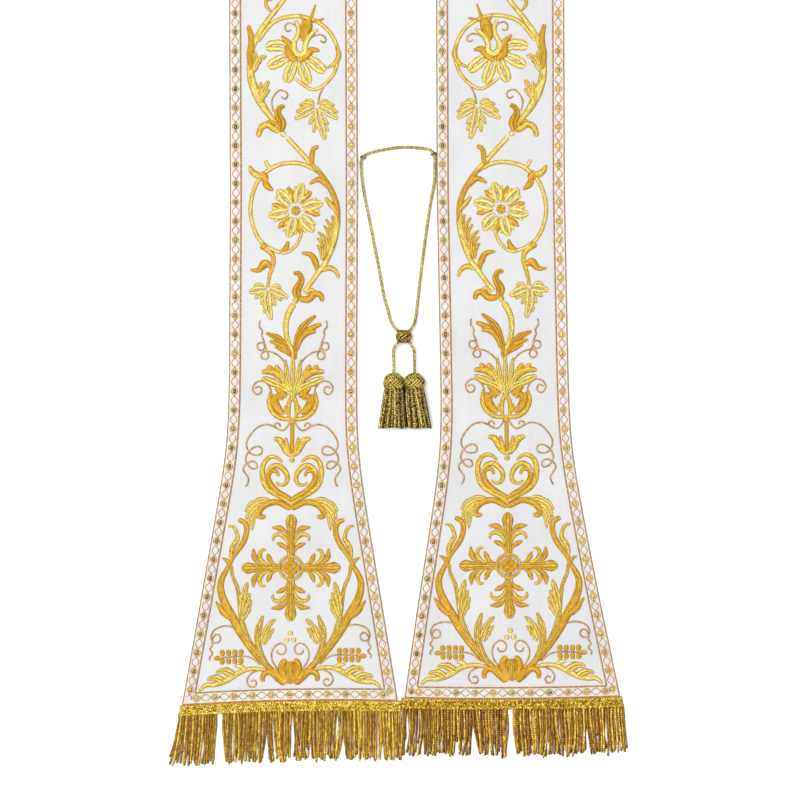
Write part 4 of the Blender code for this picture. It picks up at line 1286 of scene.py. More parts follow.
# The patterns are laid on by hand, and at these heights the right one lies a little further out
# and further up than the left one.
PatternLie = namedtuple("PatternLie", "high outwards upwards")
PATTERN_LIE = {
    "left": PatternLie([0], [0], [0]),
    "right": PatternLie([0, 60, 190, 250, 420, 490, 560, 640, 700],
                        [0, 0, 0.2, 1.0, 1.2, 1.9, 1.1, 0.0, -0.8],
                        [1.0, 1.8, 2.1, 2.2, 1.8, 1.4, 0.6, 1.0, 1.0]),
}  # fmt: skip


def on_pattern(side, line, level):
    lie = PATTERN_LIE[side]
    out = line[:, 0] + np.interp(line[:, 1], lie.high, lie.outwards)
    high = line[:, 1] + np.interp(line[:, 1], lie.high, lie.upwards)
    return on_panel(side, out, high, level)


# %% The work on one motif
class Goldwork:
    """The strokes of one motif on one panel: the satin, its brown outline and its tendrils."""

    def __init__(self, side):
        self.side, self.laid = side, []
        self.satin, self.outline, self.twine = Workbox(), Workbox(), Workbox()

    def stitched(self, look, path, widths, lift=0.0):
        """One stroke of satin stitch, with the brown cord round it."""
        look = LOOKS[look]
        flat = smooth(path)
        run = lengths_along(flat)
        stops = np.linspace(0, run[-1], max(3, round(run[-1] / STITCH_STEP)) + 1)
        end = min(widths[0], widths[-1], 3.0) / 2
        stops = np.unique(np.concatenate([stops, [end * 0.08, end * 0.35, run[-1] - end * 0.35,
                                                  run[-1] - end * 0.08]]))
        line = at(flat, stops)
        share = stops / run[-1]
        half = rounded(widths_at(share, widths), stops)
        if look.lobes:
            swelling = LOBE_SWELL * np.abs(np.sin(share * math.pi * look.lobes))
            half = half * (1 - LOBE_DEPTH + LOBE_DEPTH * swelling)
        level = lift + self.pile(line, half) + OVERLAP * (len(self.laid) % 9)
        tall = RISE + PADDING * 2 * half
        placed = on_pattern(self.side, line, level)
        self.satin.sweep(placed, SECTIONS[look.veins], half, tall, look.tone, vein=look.veins)
        ground = on_pattern(self.side, line, -0.1)
        self.outline.sweep(ground, BORDER, half + OUTLINE, level + 0.42, look.tone)
        self.laid.append((line, half, level + tall))

    def opened(self, path, widths, slit, lift=0.0):
        """A petal of two strokes that meet at its tip, with the cloth bare between them."""
        flat = even(smooth(path), 3.0)
        ahead = headings(flat, lengths_along(flat))
        aside = np.column_stack([-ahead[:, 1], ahead[:, 0]])
        share = np.linspace(0, 1, len(flat))
        wide = widths_at(share, widths)
        bare = slit * np.clip((0.92 - share) / 0.3, 0, 1)
        for sign in (-1, 1):
            rim = flat + sign * aside * ((wide + bare) / 4)[:, None]
            self.stitched("petal", rim, (wide - bare) / 2, lift)

    def pile(self, line, half):
        """How far a new stroke is lifted where it crosses the strokes already laid."""
        ahead = unit(np.gradient(line, axis=0))
        across = np.column_stack([-ahead[:, 1], ahead[:, 0]]) * half[:, None] * 0.7
        under = np.zeros(len(line))
        for spots, reach, top in self.laid:
            for points in (line, line + across, line - across):
                gaps = np.linalg.norm(points[:, None] - spots, axis=2)
                near = gaps.argmin(axis=1)
                inside = np.clip(1 - (gaps.min(axis=1) / reach[near]) ** 2, 0, 1)
                under = np.maximum(under, top[near] * np.sqrt(inside))
        soft = np.convolve(np.pad(under, 2, "edge"), np.full(5, 0.2), "valid")
        return np.minimum(soft * PILE, PILE_LIMIT)

    def couched(self, path, radius=TWINE):
        """A single cord, held down by stitches."""
        placed = on_pattern(self.side, even(smooth(path), 1.1), radius * 0.55)
        self.twine.sweep(placed, ROUND, radius, radius * 0.8)

    def lay(self, strokes, tendrils, mirrored=False):
        """All the strokes and tendrils of a table, on both sides of the middle if mirrored."""
        for look, path, widths in strokes:
            for half in both(path) if mirrored else (path,):
                self.stitched(look, half, widths)
        for path in tendrils:
            for half in both(path) if mirrored else (path,):
                self.couched(half)

    def dot(self, out, high, across, along, look="orange", lift=0.0):
        """A round or oval pad."""
        self.stitched(look, [(out - along * 0.001, high - along / 2), (out, high + along / 2)],
                      (across, across, across), lift)

    def finish(self, name):
        """Makes the motif's pieces; its satin stands for the motif's solid."""
        side = self.side
        self.satin.make(f"{name}_satin_{side}", satin, "gold_thread", [f"{name}_{side}"])
        self.outline.make(f"{name}_outline_{side}", outline_cord, "gold_thread")
        if self.twine.count:
            self.twine.make(f"{name}_tendrils_{side}", tendril_cord, "gold_thread")


# %% [markdown]
# Satin stitch shines along the stroke and darkens where the threads bend down at its edges and
# into its vein. Both are painted here: painted highlights run along the stroke, and painted shade
# darkens its edges and its vein. The recipe reads how far a point lies from the middle of its
# stroke, and the stroke's tone: orange silk, yellow gold or pale gold. Fine stripes across are the
# stitches.


# %% Materials of the goldwork
VEIN_APART = 0.36  # where a stroke's two veins lie, from its middle to its edge


def satin_material():
    r = Recipe("gold_satin", Roughness=0.38, Metallic=0.6)
    away = r.across()
    stitches = r.stripes(0.5, "Y", r.thread, 0.3)
    run = r.add("Mapping", {"Vector": r.thread, "Scale": (1.3, 0.14, 1.0)})
    # painted sheen: clouds stretched along the stroke and fine specks run each colour from dark to
    # bright
    sheen_streaks = r.noise(1.0, 2.0, run)
    fine = r.noise(0.0013, 2.0)
    shine = r.weighed((sheen_streaks, 0.55), (fine, 0.45))
    orange = r.ramp(shine, (0.36, tint(188, 134, 28)), (0.50, tint(217, 166, 46)),
                    (0.68, tint(236, 199, 90)))
    yellow = r.ramp(shine, (0.34, tint(180, 132, 26)), (0.46, tint(220, 178, 54)),
                    (0.56, tint(240, 214, 102)), (0.68, tint(250, 242, 182)))
    pale = r.ramp(shine, (0.34, tint(204, 168, 58)), (0.46, tint(240, 216, 102)),
                  (0.62, tint(254, 248, 180)))
    tone = r.mark("tone")
    colour = r.blend(r.band(tone, 0.1, 0.6), orange, yellow)
    colour = r.blend(r.band(tone, 0.65, 1.0), colour, pale)
    vein = r.mark("vein")
    vein_place = r.calc("MULTIPLY", r.calc("SUBTRACT", vein, 1.0), VEIN_APART)
    beside = r.calc("ABSOLUTE", r.calc("SUBTRACT", away, vein_place))
    # painted shade in the sunk veins and at the stroke's edges, where the threads bend down
    sunk = r.calc("MULTIPLY", r.band(beside, 0.2, 0.05), r.calc("MINIMUM", vein, 1.0))
    edge = r.calc("MULTIPLY", r.calc("MAXIMUM", r.band(away, 0.66, 1.0), sunk), 0.66)
    colour = r.blend(edge, colour, tint(158, 108, 30))
    return r.finish(colour, r.calc("ADD", stitches, fine), 0.00016)


satin = satin_material()
outline_cord = silk_cord("outline_cord", tint(136, 98, 24), tint(192, 152, 54), 1.4, 0.004)
tendril_cord = silk_cord("tendril_cord", tint(142, 106, 52), tint(192, 153, 88), 1.4, 0.004)

# %% [markdown]
# ## The pattern
# At the hem a cross stands in a lyre of two acanthus stems that rise from a shell. Above it come a
# scrolled heart and an urn of leaves, and from the urn a vine climbs to the nape: two round
# scrolls, a rosette in the lower one and a lily in the upper. The cross, lyre, heart and urn are
# the same on both sides of the panel's middle, so only one side of them is written. The right
# panel is the mirror image of the left. All of these are old, common church motifs, drawn here
# from a few knots each.


# %% Turning and mirroring strokes
def both(path):
    """A path and its mirror image on the other side of the panel's middle."""
    return path, [(-out, high) for out, high in path]


def turned(path, degrees, centre):
    """A path turned about a centre."""
    c, s = math.cos(math.radians(degrees)), math.sin(math.radians(degrees))
    return [(centre[0] + c * x - s * y, centre[1] + s * x + c * y) for x, y in path]


def arc(centre, start, end, radii):
    """A round stem: knots about a centre, from one angle to another, with these radii."""
    angles = np.radians(np.linspace(start, end, len(radii)))
    return [(centre[0] + r * math.cos(a), centre[1] + r * math.sin(a))
            for a, r in zip(angles, radii)]


# %% [markdown]
# ### The cross
# Only one arm is written: a reeded shaft and three leaves on one side of it. The leaves are
# mirrored, and the arm is turned by quarters. A ring and nine pads fill the middle.

# %% The cross
CROSS = (0, 133.6)
CROSS_ARM = [
    ("orange", [(2, 15), (5.4, 20), (9.4, 22.8), (14.6, 24.8)], (1.8, 3, 5, 1.4)),
    ("yellow", [(2.4, 21), (4.7, 27.6), (8.2, 32), (12.6, 33.6), (16.6, 32), (18.2, 29.2),
                (17.2, 26.6)], (1.8, 2.4, 3.4, 4.6, 3.6, 2.8, 1)),
    ("orange", [(1.6, 28), (4.2, 34), (9.6, 39), (19.4, 40.4)], (1.6, 2, 5.8, 1)),
]
SHAFT = [(0, 11), (0, 17), (0, 24), (0, 33), (0, 40), (0, 46), (0, 53.6)]
SHAFT_WIDTHS = (8.6, 6.8, 6, 5.4, 8.6, 11.6, 6.2)
ARM_START = 11  # how far from the cross's middle its arms begin
SIDE_ARM = 0.905  # the length of a side arm, to that of an upright one
CROSS_RING, RING_CORD = 11.8, 9.6  # radii
LATTICE = 3.5 * 1.4  # between the pads in the cross's middle


def cross_arm(path, quarter):
    """A path of the upright arm, turned by quarters, and shortened for a side arm."""
    share = SIDE_ARM if quarter % 2 else 1.0
    path = [(out, ARM_START + (high - ARM_START) * share) for out, high in path]
    return turned(path, 90 * quarter, CROSS)


for side in SIDES:
    work = Goldwork(side)
    for quarter in range(4):
        for look, path, widths in CROSS_ARM:
            for leaf in both(path):
                work.stitched(look, cross_arm(leaf, quarter), widths)
        work.stitched("reeded", cross_arm(SHAFT, quarter), SHAFT_WIDTHS, 0.15)
    work.stitched("gold", arc(CROSS, 0, 360, [CROSS_RING] * 17), (1.9, 1.9), 0.35)
    pads = [(column * LATTICE, row * LATTICE) for column in (-1, 0, 1) for row in (-1, 0, 1)]
    for out, high in turned(pads, 45, CROSS):
        work.dot(out, high, 6.0, 6.2, "orange", 0.1)
    work.couched(arc(CROSS, 0, 360, [RING_CORD] * 17), 0.4)
    work.finish("cross")

# %% [markdown]
# ### The lyre
# Two acanthus stems rise from a shell and bend together over the cross. What lies lowest comes first
# in the table, because a new stroke climbs over what is already there, as on the embroiderer's frame.

# %% The lyre: acanthus stems, leaves, wheat ears and the shell at their foot
LYRE = [
    ("stem", [(14, 26), (24, 31), (34, 33.2), (44, 32.4), (53, 28.6), (66, 21.6), (76, 19),
              (84.5, 18.6), (91, 13)], (3, 3.2, 3.8, 4.6, 5.6, 5.2, 4.4, 1.8)),
    ("leaf", [(55, 26.4), (62, 31), (68, 32.4), (74, 31)], (4, 8.4, 6, 2)),
    ("leaf", [(66, 21), (72, 25), (78, 25.4), (83, 23.6)], (4, 7.4, 5, 2)),
    ("pale", [(44, 32.6), (49, 35.6), (55.4, 36.8)], (2, 4.4, 1.6)),
    ("orange", [(9, 20), (19.5, 32.5), (34, 47), (48, 67), (57.5, 84), (66, 99.5), (70, 112),
                (69, 123), (62, 136)], (5, 5.5, 6, 7.5, 8.5, 8.5, 7.5, 6, 4)),
    ("orange", [(60, 84), (67, 90), (75, 101)], (5, 6, 1.2)),
    ("orange", [(61, 133), (63, 140), (69, 143.8)], (4, 4, 1)),
    ("orange", [(62, 135), (58, 144), (48, 159), (44.5, 170), (46, 178), (53, 182)],
     (3.4, 3.4, 5, 5, 5, 4)),
    ("yellow", [(59.5, 140), (59.8, 150), (56.5, 158), (53.5, 163), (55, 170), (58, 174.5),
                (63, 175.5)], (1.5, 3.5, 5, 4.5, 3.5, 3, 1.5)),
    ("ribbed", [(24, 36), (33, 49), (40, 58), (45, 68), (49, 82), (51, 98), (53.5, 114),
                (58.5, 126), (59.5, 136)], (3, 4.5, 5, 5.5, 4.5, 4, 3.5, 3, 2.5)),
    ("leaf", [(48, 82), (43, 92), (39.5, 102)], (3, 6, 2)),
    ("leaf", [(49, 86), (45, 98), (41, 109)], (3.5, 7, 2)),
    ("leaf", [(50, 88), (48, 102), (43.5, 119.5)], (4, 8, 2)),
    ("leaf", [(27, 57), (22, 66), (16.5, 73)], (3, 5.5, 2)),
    ("leaf", [(29, 60), (24.5, 71), (20, 78), (15, 82)], (3.5, 6, 5, 2)),
    ("ribbed", [(22, 34), (29, 47), (32.5, 60), (32, 72), (27.5, 86)], (4, 5, 6, 6.5, 2)),
    ("orange", [(4.5, 17.5), (12.5, 23.5), (18.5, 28.8), (24, 29), (27.5, 24.5), (26.6, 19.6)],
     (7.5, 6.6, 5.6, 5.4, 5, 3.6)),
    ("orange", [(4.5, 17.5), (10, 23.5), (13.4, 28.6), (15, 33)], (7, 7, 6.4, 4)),
    ("orange", [(2.4, 19), (6.2, 26), (8, 33), (7, 38.6), (3.4, 41.4)], (6, 7.6, 8, 7, 4.6)),
]  # fmt: skip
LYRE_TENDRILS = [
    [(50, 68), (56, 74.5), (66, 76.5), (76, 73), (79.5, 66), (77, 60.8), (72.5, 60.5),
     (69.8, 64), (71.5, 68), (75.5, 68), (78.5, 63), (78, 58), (80.5, 54), (77.7, 50),
     (80.7, 46), (80, 43)],
    [(13, 33), (17.5, 40), (18.7, 48), (15.5, 55), (9.5, 58), (5, 55), (4.6, 50), (8, 46.8),
     (12, 48), (13, 51)],
    [(24, 31), (33, 31), (40, 27.5), (43, 21.5), (40.5, 16), (35.5, 15.3), (33.5, 19),
     (36, 22), (39, 20.5)],
    [(30, 37), (38, 43.5), (47.6, 46), (73, 45.2)],
]  # fmt: skip
EAR_PLACES, EAR_ROWS = (49.2, 55.4, 61.7, 68.0), (49.9, 41.6)
for side in SIDES:
    work = Goldwork(side)
    work.stitched("orange", [(0, 17), (0, 28), (0, 40)], (6, 14, 9))
    work.lay(LYRE, LYRE_TENDRILS, mirrored=True)
    for sign in (-1, 1):
        for high in EAR_ROWS:
            for out in EAR_PLACES:
                work.dot(sign * out, high, 4.6, 6.4)
        work.stitched("orange", [(sign * 70, 45.2), (sign * 76.5, 44.6)], (4.4, 4.4, 2.5))
        work.dot(sign * 3.4, 61.3, 4.8, 4.9, "pale")
    work.dot(0, 68, 4.8, 5.2, "pale")
    work.stitched("reeded", [(0, 19), (0, 30), (0, 39)], (3, 7.4, 4.4), 0.4)
    work.finish("lyre")

# %% [markdown]
# ### The heart
# Two pairs of scrolls curl together into the heart. Under it a fan of blades on each side closes the
# lyre.

# %% The heart, with the arch of acanthus under it
HEART = [
    ("blade", [(30, 192), (35.5, 187), (38.5, 180), (39, 171)], (3, 4.5, 4, 1.2)),
    ("blade", [(27, 196), (35, 192), (40, 185), (43, 175)], (3, 5, 4.5, 1.3)),
    ("blade", [(24, 199), (34, 197), (41.5, 190), (45.5, 182)], (3, 5, 5, 1.5)),
    ("blade", [(21, 201), (31, 201.5), (40, 197), (46.5, 190)], (3, 5, 5, 1.6)),
    ("orange", [(0, 193), (5, 195), (13, 199), (22, 198.5), (29, 194.5), (32.5, 189),
                (30.5, 184.5), (25.5, 185.3)], (5, 5, 5.5, 6, 6, 6, 5, 3.2)),
    ("yellow", [(0, 197.4), (6.6, 202.4), (14.4, 206.6), (22.8, 211.8), (28, 219.5), (29.6, 230),
                (28, 238), (24, 243), (18.5, 244.8), (13, 242.4), (9.6, 239)],
     (4, 4.6, 5, 5, 5, 5, 5, 4.5, 4, 3, 1.8)),
    ("orange", [(0, 201.6), (7, 205.8), (13.7, 209.6), (19.6, 215.3), (23, 221.5),
                (23.2, 227), (19.8, 230.6), (15.4, 229.8), (12.9, 225)],
     (4, 4.6, 5, 5.2, 5.4, 5, 4.4, 3.6, 2)),
    ("yellow", [(25.6, 227.5), (21, 233.8), (15, 236), (8.6, 232.5), (4.6, 226), (4.8, 220),
                (8.6, 216.4), (13.4, 217), (15.8, 219.4)], (2, 4, 5, 5, 4.8, 4.2, 3.6, 2.6, 1.4)),
    ("yellow", [(0, 246), (5.4, 249.4), (8.8, 255.4), (12.4, 261), (18.6, 263)],
     (4.6, 5, 6, 6.2, 3)),
    ("yellow", [(2.6, 250), (5, 256), (6.4, 264)], (3, 3.8, 2.2)),
]  # fmt: skip
for side in SIDES:
    work = Goldwork(side)
    work.lay(HEART, [], mirrored=True)
    work.dot(0, 241.5, 5, 5.4, "yellow")
    work.finish("heart")

# %% [markdown]
# ### The urn
# The urn is a cup of leaves that holds a palmette. Its long tendrils are single couched cords, which
# stay equally thin however far they curl.

# %% The urn and its palmette
URN = [
    ("orange", [(8, 287.5), (13.6, 291.5), (17.6, 298), (19.4, 307.5)], (3, 8, 9, 3)),
    ("yellow", [(1, 283), (7, 282.4), (13.8, 284.4), (20.2, 290), (23.6, 299), (22.4, 310)],
     (3.5, 4, 4.6, 4.6, 4, 1.5)),
    ("orange", [(5.5, 313), (11, 309), (17, 303)], (5, 6, 4.5)),
    ("orange", [(6, 304.5), (12, 309.5), (17.5, 315)], (4, 6, 4.5)),
    ("orange", [(11.5, 301), (11.5, 317)], (4.4, 5, 4)),
    ("yellow", [(3.4, 283), (4.4, 292), (3.2, 300), (0.8, 306)], (2, 4.4, 4, 2.5)),
    ("yellow", [(3.4, 288), (7.4, 290.5), (7, 296)], (2, 2.6, 1.5)),
    ("blade", [(0, 306), (9, 314), (19, 318.5), (31, 324)], (3, 6, 7.5, 4.5)),
    ("gold", [(13, 329), (17.5, 336.5)], (4.5, 5, 2.6)),
    ("gold", [(20, 331), (25.5, 336)], (4.5, 5, 2.6)),
    ("gold", [(2, 312), (11, 323), (20, 329.6), (31.5, 329.5)], (3.5, 6.4, 7.4, 3.6)),
    ("blade", [(2, 306), (8, 318), (12.5, 332)], (3, 5.4, 2)),
    ("blade", [(1, 306), (5, 322), (8, 342)], (3, 5, 2)),
]  # fmt: skip
URN_TENDRILS = [
    [(21.4, 307), (22.5, 313), (26, 318), (31, 320.5), (36.8, 319), (40, 314), (38.6, 309),
     (35, 307), (31.5, 309.5), (31.6, 313), (34.5, 315), (37.5, 313.4)],
    [(2.5, 281), (4.5, 275.5), (9.5, 271), (15, 272.8), (17.7, 275.5), (16.8, 278), (13.6, 278),
     (12, 275)],
    [(15.5, 273.3), (20, 275.6), (26, 277), (34, 274.6), (40.5, 268.3), (45, 261), (45.5, 255),
     (42.7, 249.2), (37.7, 246.5), (31.4, 247.4), (29.8, 251.6), (33.2, 255), (38.6, 254),
     (44, 249), (46.4, 242), (43.2, 235.5), (37.7, 232.4), (34.6, 235), (36.4, 239.2),
     (41.4, 240), (46.8, 236.5), (48.6, 232), (46, 227.4), (43.2, 222.8), (44, 218.3),
     (46, 215)],
    [(6, 335), (11, 342.5), (17, 347.5), (23.5, 350), (29, 349.8), (32, 346.3), (29.8, 342.4),
     (25.8, 342.8), (24.4, 346.3), (26.5, 351), (28.2, 356), (31, 359), (35, 357.8), (35.6, 353.6),
     (32.2, 351), (28.8, 353), (28.3, 357.5), (29.8, 362), (31.4, 366), (30.8, 370.5),
     (33.8, 375), (33.2, 381)],
]  # fmt: skip
for side in SIDES:
    work = Goldwork(side)
    work.stitched("orange", [(0, 280), (0, 262), (0, 248)], (3.6, 3.4, 3.4), 0.1)
    work.lay(URN, URN_TENDRILS, mirrored=True)
    work.stitched("blade", [(0, 300), (0, 322), (0, 346)], (3, 4.6, 2.5), 0.3)
    work.dot(0, 281, 4.8, 6.4, "yellow", 0.2)
    work.finish("urn")

# %% [markdown]
# ### The vine
# The vine isn't the same on both sides, so all of it is written. Its two round scrolls are arcs
# about a centre. The long lobes of the hanging leaves are pairs of strokes with a bare slit between.

# %% The vine
LOWER_SCROLL = arc((0.5, 493), 126, -76, (45, 45.7, 46, 44.6, 42.8, 43.4, 46, 45.5))
LOWER_SCROLL += [(-0.5, 454), (-7, 465.5), (-8, 477)]
UPPER_SCROLL = arc((-8, 648.5), 15, 285, (45, 41.2, 37.2, 35.3, 35.6, 37, 38.6, 38.6, 26))
VINE = [
    ("stem", UPPER_SCROLL, (3.8, 3.6, 3.2, 2.6)),
    ("stem", LOWER_SCROLL, (3.8, 3.6, 3.4, 2.6)),
    ("stem", [(-0.8, 398), (5.5, 386), (7.3, 374), (5.5, 361), (1, 350), (-0.8, 341)],
     (6, 5.6, 5.2, 4.6, 4.6, 4)),
    ("orange", [(-5, 358), (-12, 369), (-20, 374), (-28.5, 377.5)], (2.5, 4.5, 5.5, 3.2)),
    ("orange", [(-4, 351), (-8, 362), (-14, 368.5), (-23, 370)], (2.5, 3.6, 5.4, 3)),
    ("orange leaf", [(-1.6, 342), (-3, 360), (-9.7, 374.5), (-22.5, 386)], (3.6, 4.4, 6.8, 2.6)),
    ("orange", [(3, 347), (9.5, 351), (18, 355.5)], (3, 4.4, 2)),
    ("orange", [(3.4, 349), (11, 355.5), (23.5, 360.5)], (3, 5, 2)),
    ("orange leaf", [(2, 345), (6, 354), (13, 362), (27, 368.5)], (3, 3.8, 6.6, 2)),
    ("yellow", [(-12, 408), (-18, 411.5), (-22.5, 409)], (3, 4.5, 2)),
    ("orange", [(-6, 402.5), (-15, 402.3), (-21.5, 407.5), (-27, 406.5), (-29.5, 400)],
     (5, 7, 6.5, 5.5, 4)),
    ("orange leaf", [(-5.5, 402), (-3.4, 411), (-8, 421), (-5.5, 428), (0, 428)],
     (6, 9, 7, 5, 3.4)),
    ("yellow", [(-1, 398.5), (-4.2, 403.5)], (5, 5, 4)),
    ("orange", [(-24, 430), (-22.5, 438), (-17.5, 446.5), (-8, 448.5)], (3, 6.4, 5, 1.8)),
    ("yellow", [(-28, 430.5), (-36, 433.5), (-42.5, 430), (-45.5, 423)], (2.5, 5.2, 4.2, 2)),
    ("finger", [(-29, 441), (-28.4, 449), (-26, 453.6), (-23.4, 456.6)], (3, 4.6, 4, 1.5)),
    ("finger", [(-30, 443), (-30.6, 453), (-28, 459.4), (-23.6, 463.4)], (3, 5.2, 4.6, 1.6)),
    ("finger", [(-32, 446), (-33, 456), (-30, 464.4), (-24.4, 469.4)], (3, 5.4, 4.8, 1.6)),
    ("finger", [(-33.5, 448), (-37, 460), (-35, 469), (-30, 476)], (3, 5.2, 4.6, 1.6)),
    ("finger", [(-34.5, 450), (-39, 463), (-37.4, 474), (-32, 482.6)], (3, 5.4, 4.6, 1.6)),
    ("finger", [(-35, 452), (-41, 466), (-40.6, 477), (-38.2, 486)], (3, 5.4, 4.8, 1.6)),
    ("stem", [(6, 563.5), (-3, 554), (-12, 544), (-17, 538), (-26, 529), (-35, 516), (-42, 500),
                (-43.8, 484), (-42.2, 469), (-38.2, 453), (-32, 438.5), (-26.4, 431), (-18, 419),
                (-10, 409)], (4.2, 4.4, 4.4, 4.4, 4.6, 5.2, 5.6, 5.6, 5.2, 5, 4.8, 4.4, 4.2, 3.8)),
    ("orange", [(-17, 536.5), (-27, 527), (-36.5, 512.5), (-42.8, 496), (-44.8, 478)],
     (2, 4, 4.6, 4.4, 1.8)),
    ("orange", [(-17.5, 535), (-18.2, 546), (-20, 552.5), (-25, 555)], (3.6, 5, 4.6, 3.6)),
    ("orange", [(-34.5, 513.5), (-30, 519.5), (-24, 522), (-15.5, 517.5)], (3, 5.4, 4.8, 1.5)),
    ("yellow", [(-43, 490), (-37, 497), (-31.5, 504)], (2.6, 5, 2.4)),
    ("orange", [(34, 529), (26.5, 521)], (8, 8.5, 7)),
    ("yellow", [(32, 525), (37, 526.5), (41.5, 530), (44.5, 536)], (5, 6.5, 5, 2)),
    ("orange", [(30, 521), (26, 515), (20.5, 511)], (6, 6.5, 1.8)),
    ("pale", [(22, 533.5), (26, 536), (28.5, 541.5)], (2.5, 3.2, 3)),
    ("orange", [(14, 449.5), (8, 453), (5, 460.5)], (2, 5.4, 2.4)),
    ("yellow", [(30.5, 455), (22, 448), (20, 439), (24, 425), (25.5, 414)],
     (5, 4.5, 3.6, 3.2, 2.6)),
    ("orange", [(32.5, 457), (27.5, 453)], (6.5, 7, 6)),
    ("orange", [(21.5, 434), (28, 438), (35, 431.5), (43.5, 432)], (3, 8.4, 5, 1.5)),
    ("pale finger", [(29, 413), (34.5, 416.4), (39.6, 415.4)], (3, 5.2, 2)),
    ("pale finger", [(22, 413), (17.2, 415.4), (12.4, 413.6)], (3, 5, 2)),
    ("pale finger", [(29, 410), (35, 405.6), (38.6, 403)], (3, 5.4, 2)),
    ("pale finger", [(21, 409.5), (15, 404), (11.4, 400.6)], (3, 5.2, 2)),
    ("pale finger", [(27, 406), (30.4, 401), (32, 396.6)], (3, 5.2, 1.8)),
    ("pale finger", [(24, 405), (20, 400), (17.8, 395.4)], (3, 5, 1.8)),
    ("pale finger", [(25.5, 398), (28.2, 392.6), (28.6, 388)], (3, 4.6, 1.6)),
    ("stem", [(12, 571), (18, 579), (29, 593), (37, 608), (42, 623), (43, 637), (41.5, 651),
                (38, 661), (33, 670), (24, 683), (13, 697), (2, 713), (-3, 731), (1, 744),
                (12, 745)], (3, 4.6, 7, 8.4, 7.6, 6.6, 5.6, 5, 4.8, 4.6, 4.4, 4.2, 4, 3.6, 2.6)),
    ("orange", [(42, 631), (43.5, 646), (41.5, 661), (45, 676.5)], (3.5, 6, 6.4, 3.6)),
    ("yellow", [(22, 690), (27, 696.5), (25.5, 702.5), (21, 701)], (1.6, 3, 3.2, 2)),
    ("leaf", [(40, 629), (37.5, 641), (38.5, 650)], (3.4, 5, 2.4)),
    ("leaf", [(39, 631), (34, 642), (26.5, 645.5)], (3.4, 6, 3)),
    ("leaf", [(34, 597), (33.5, 609), (32.5, 619.5)], (3.4, 5, 2.4)),
    ("leaf", [(33, 598), (29.5, 611), (24.5, 621)], (3.4, 5.6, 3)),
    ("leaf", [(33, 601), (28, 608), (23.5, 612.5)], (3, 4.6, 2.4)),
    ("yellow", [(-44, 656), (-45.5, 646), (-41.5, 638), (-33, 633.5)], (2, 4.8, 4, 1.6)),
    ("orange", [(17, 577), (22, 580), (28, 578)], (3, 4.6, 2.6)),
    ("yellow", [(14, 570), (20, 573), (26, 576.8), (32.6, 573.5), (35.5, 564.5)],
     (5, 6, 6.4, 5.6, 4.2)),
    ("orange leaf", [(13.5, 570), (12, 579), (15.8, 588), (12.8, 594.5), (8.6, 595)],
     (6, 9, 7.6, 5.4, 3.4)),
    ("pale", [(12.3, 569.3), (8.3, 565.8)], (5.4, 5.6, 5)),
    ("pale", [(6.6, 564.2), (3.4, 561.2)], (4.6, 4.8, 4.2)),
    ("pale finger", [(-21, 597), (-16.6, 600.6), (-11.6, 601.4)], (2.4, 4.2, 1.6)),
    ("pale finger", [(-26, 597), (-30.4, 600.4), (-35, 600.6)], (2.4, 4.2, 1.6)),
    ("pale finger", [(-19.5, 596), (-12.6, 598), (-5.6, 596.4)], (3, 5, 1.8)),
    ("pale finger", [(-27.5, 596), (-34.4, 597.6), (-41, 596)], (3, 5, 1.8)),
    ("pale finger", [(-19.5, 595), (-11, 593.6), (-2.4, 589.4)], (3, 5.4, 1.8)),
    ("pale finger", [(-27.5, 595), (-36, 593.4), (-44.6, 589)], (3, 5.4, 1.8)),
    ("pale finger", [(-22.5, 588), (-18.2, 582), (-15.8, 576.8)], (3, 5, 1.8)),
    ("pale finger", [(-26.5, 585), (-31.4, 580.6), (-35, 577)], (3, 5, 1.8)),
    ("pale finger", [(-24, 580), (-21, 574.4), (-20, 569)], (3, 4.6, 1.6)),
    ("pale finger", [(-28, 577), (-32, 573.8), (-34.8, 570.4)], (2.6, 4.4, 1.6)),
]  # fmt: skip
VINE_TENDRILS = [
    [(20, 590), (21.6, 601), (15, 610.6), (8, 610), (5.8, 605.8), (8.6, 602.6), (12, 604.6)],
    [(-30, 614), (-26.5, 607), (-24.4, 597)],
]
VINE_LEAVES = [  # the long lobes of the two hanging leaves
    ([(27, 412), (35, 411.4), (44.4, 409.6)], (5, 8.4, 3)),
    ([(24, 412), (15.6, 409), (5.4, 403.8)], (5, 8.4, 3)),
    ([(25.5, 412), (26, 401), (24.4, 391), (21.8, 381.8)], (5.4, 9, 7, 3)),
    ([(-21.5, 594), (-12, 589), (-1, 582.6)], (4.6, 7.4, 3)),
    ([(-25.5, 594), (-35, 589), (-44.4, 582.6)], (4.6, 7.4, 3)),
    ([(-23.5, 594), (-25.4, 582), (-28.4, 572), (-31.6, 562)], (5, 8.4, 7, 3)),
]
LEAF_SLIT = 1.6
for side in SIDES:
    work = Goldwork(side)
    work.lay(VINE, VINE_TENDRILS)
    for path, widths in VINE_LEAVES:
        work.opened(path, widths, LEAF_SLIT, 0.15)
    work.finish("vine")

# %% [markdown]
# ### The rosette and the lily
# The rosette's petals and sepals are one of each, turned about its middle. The lily is seen from the
# side, so each of its petals has a path of its own.

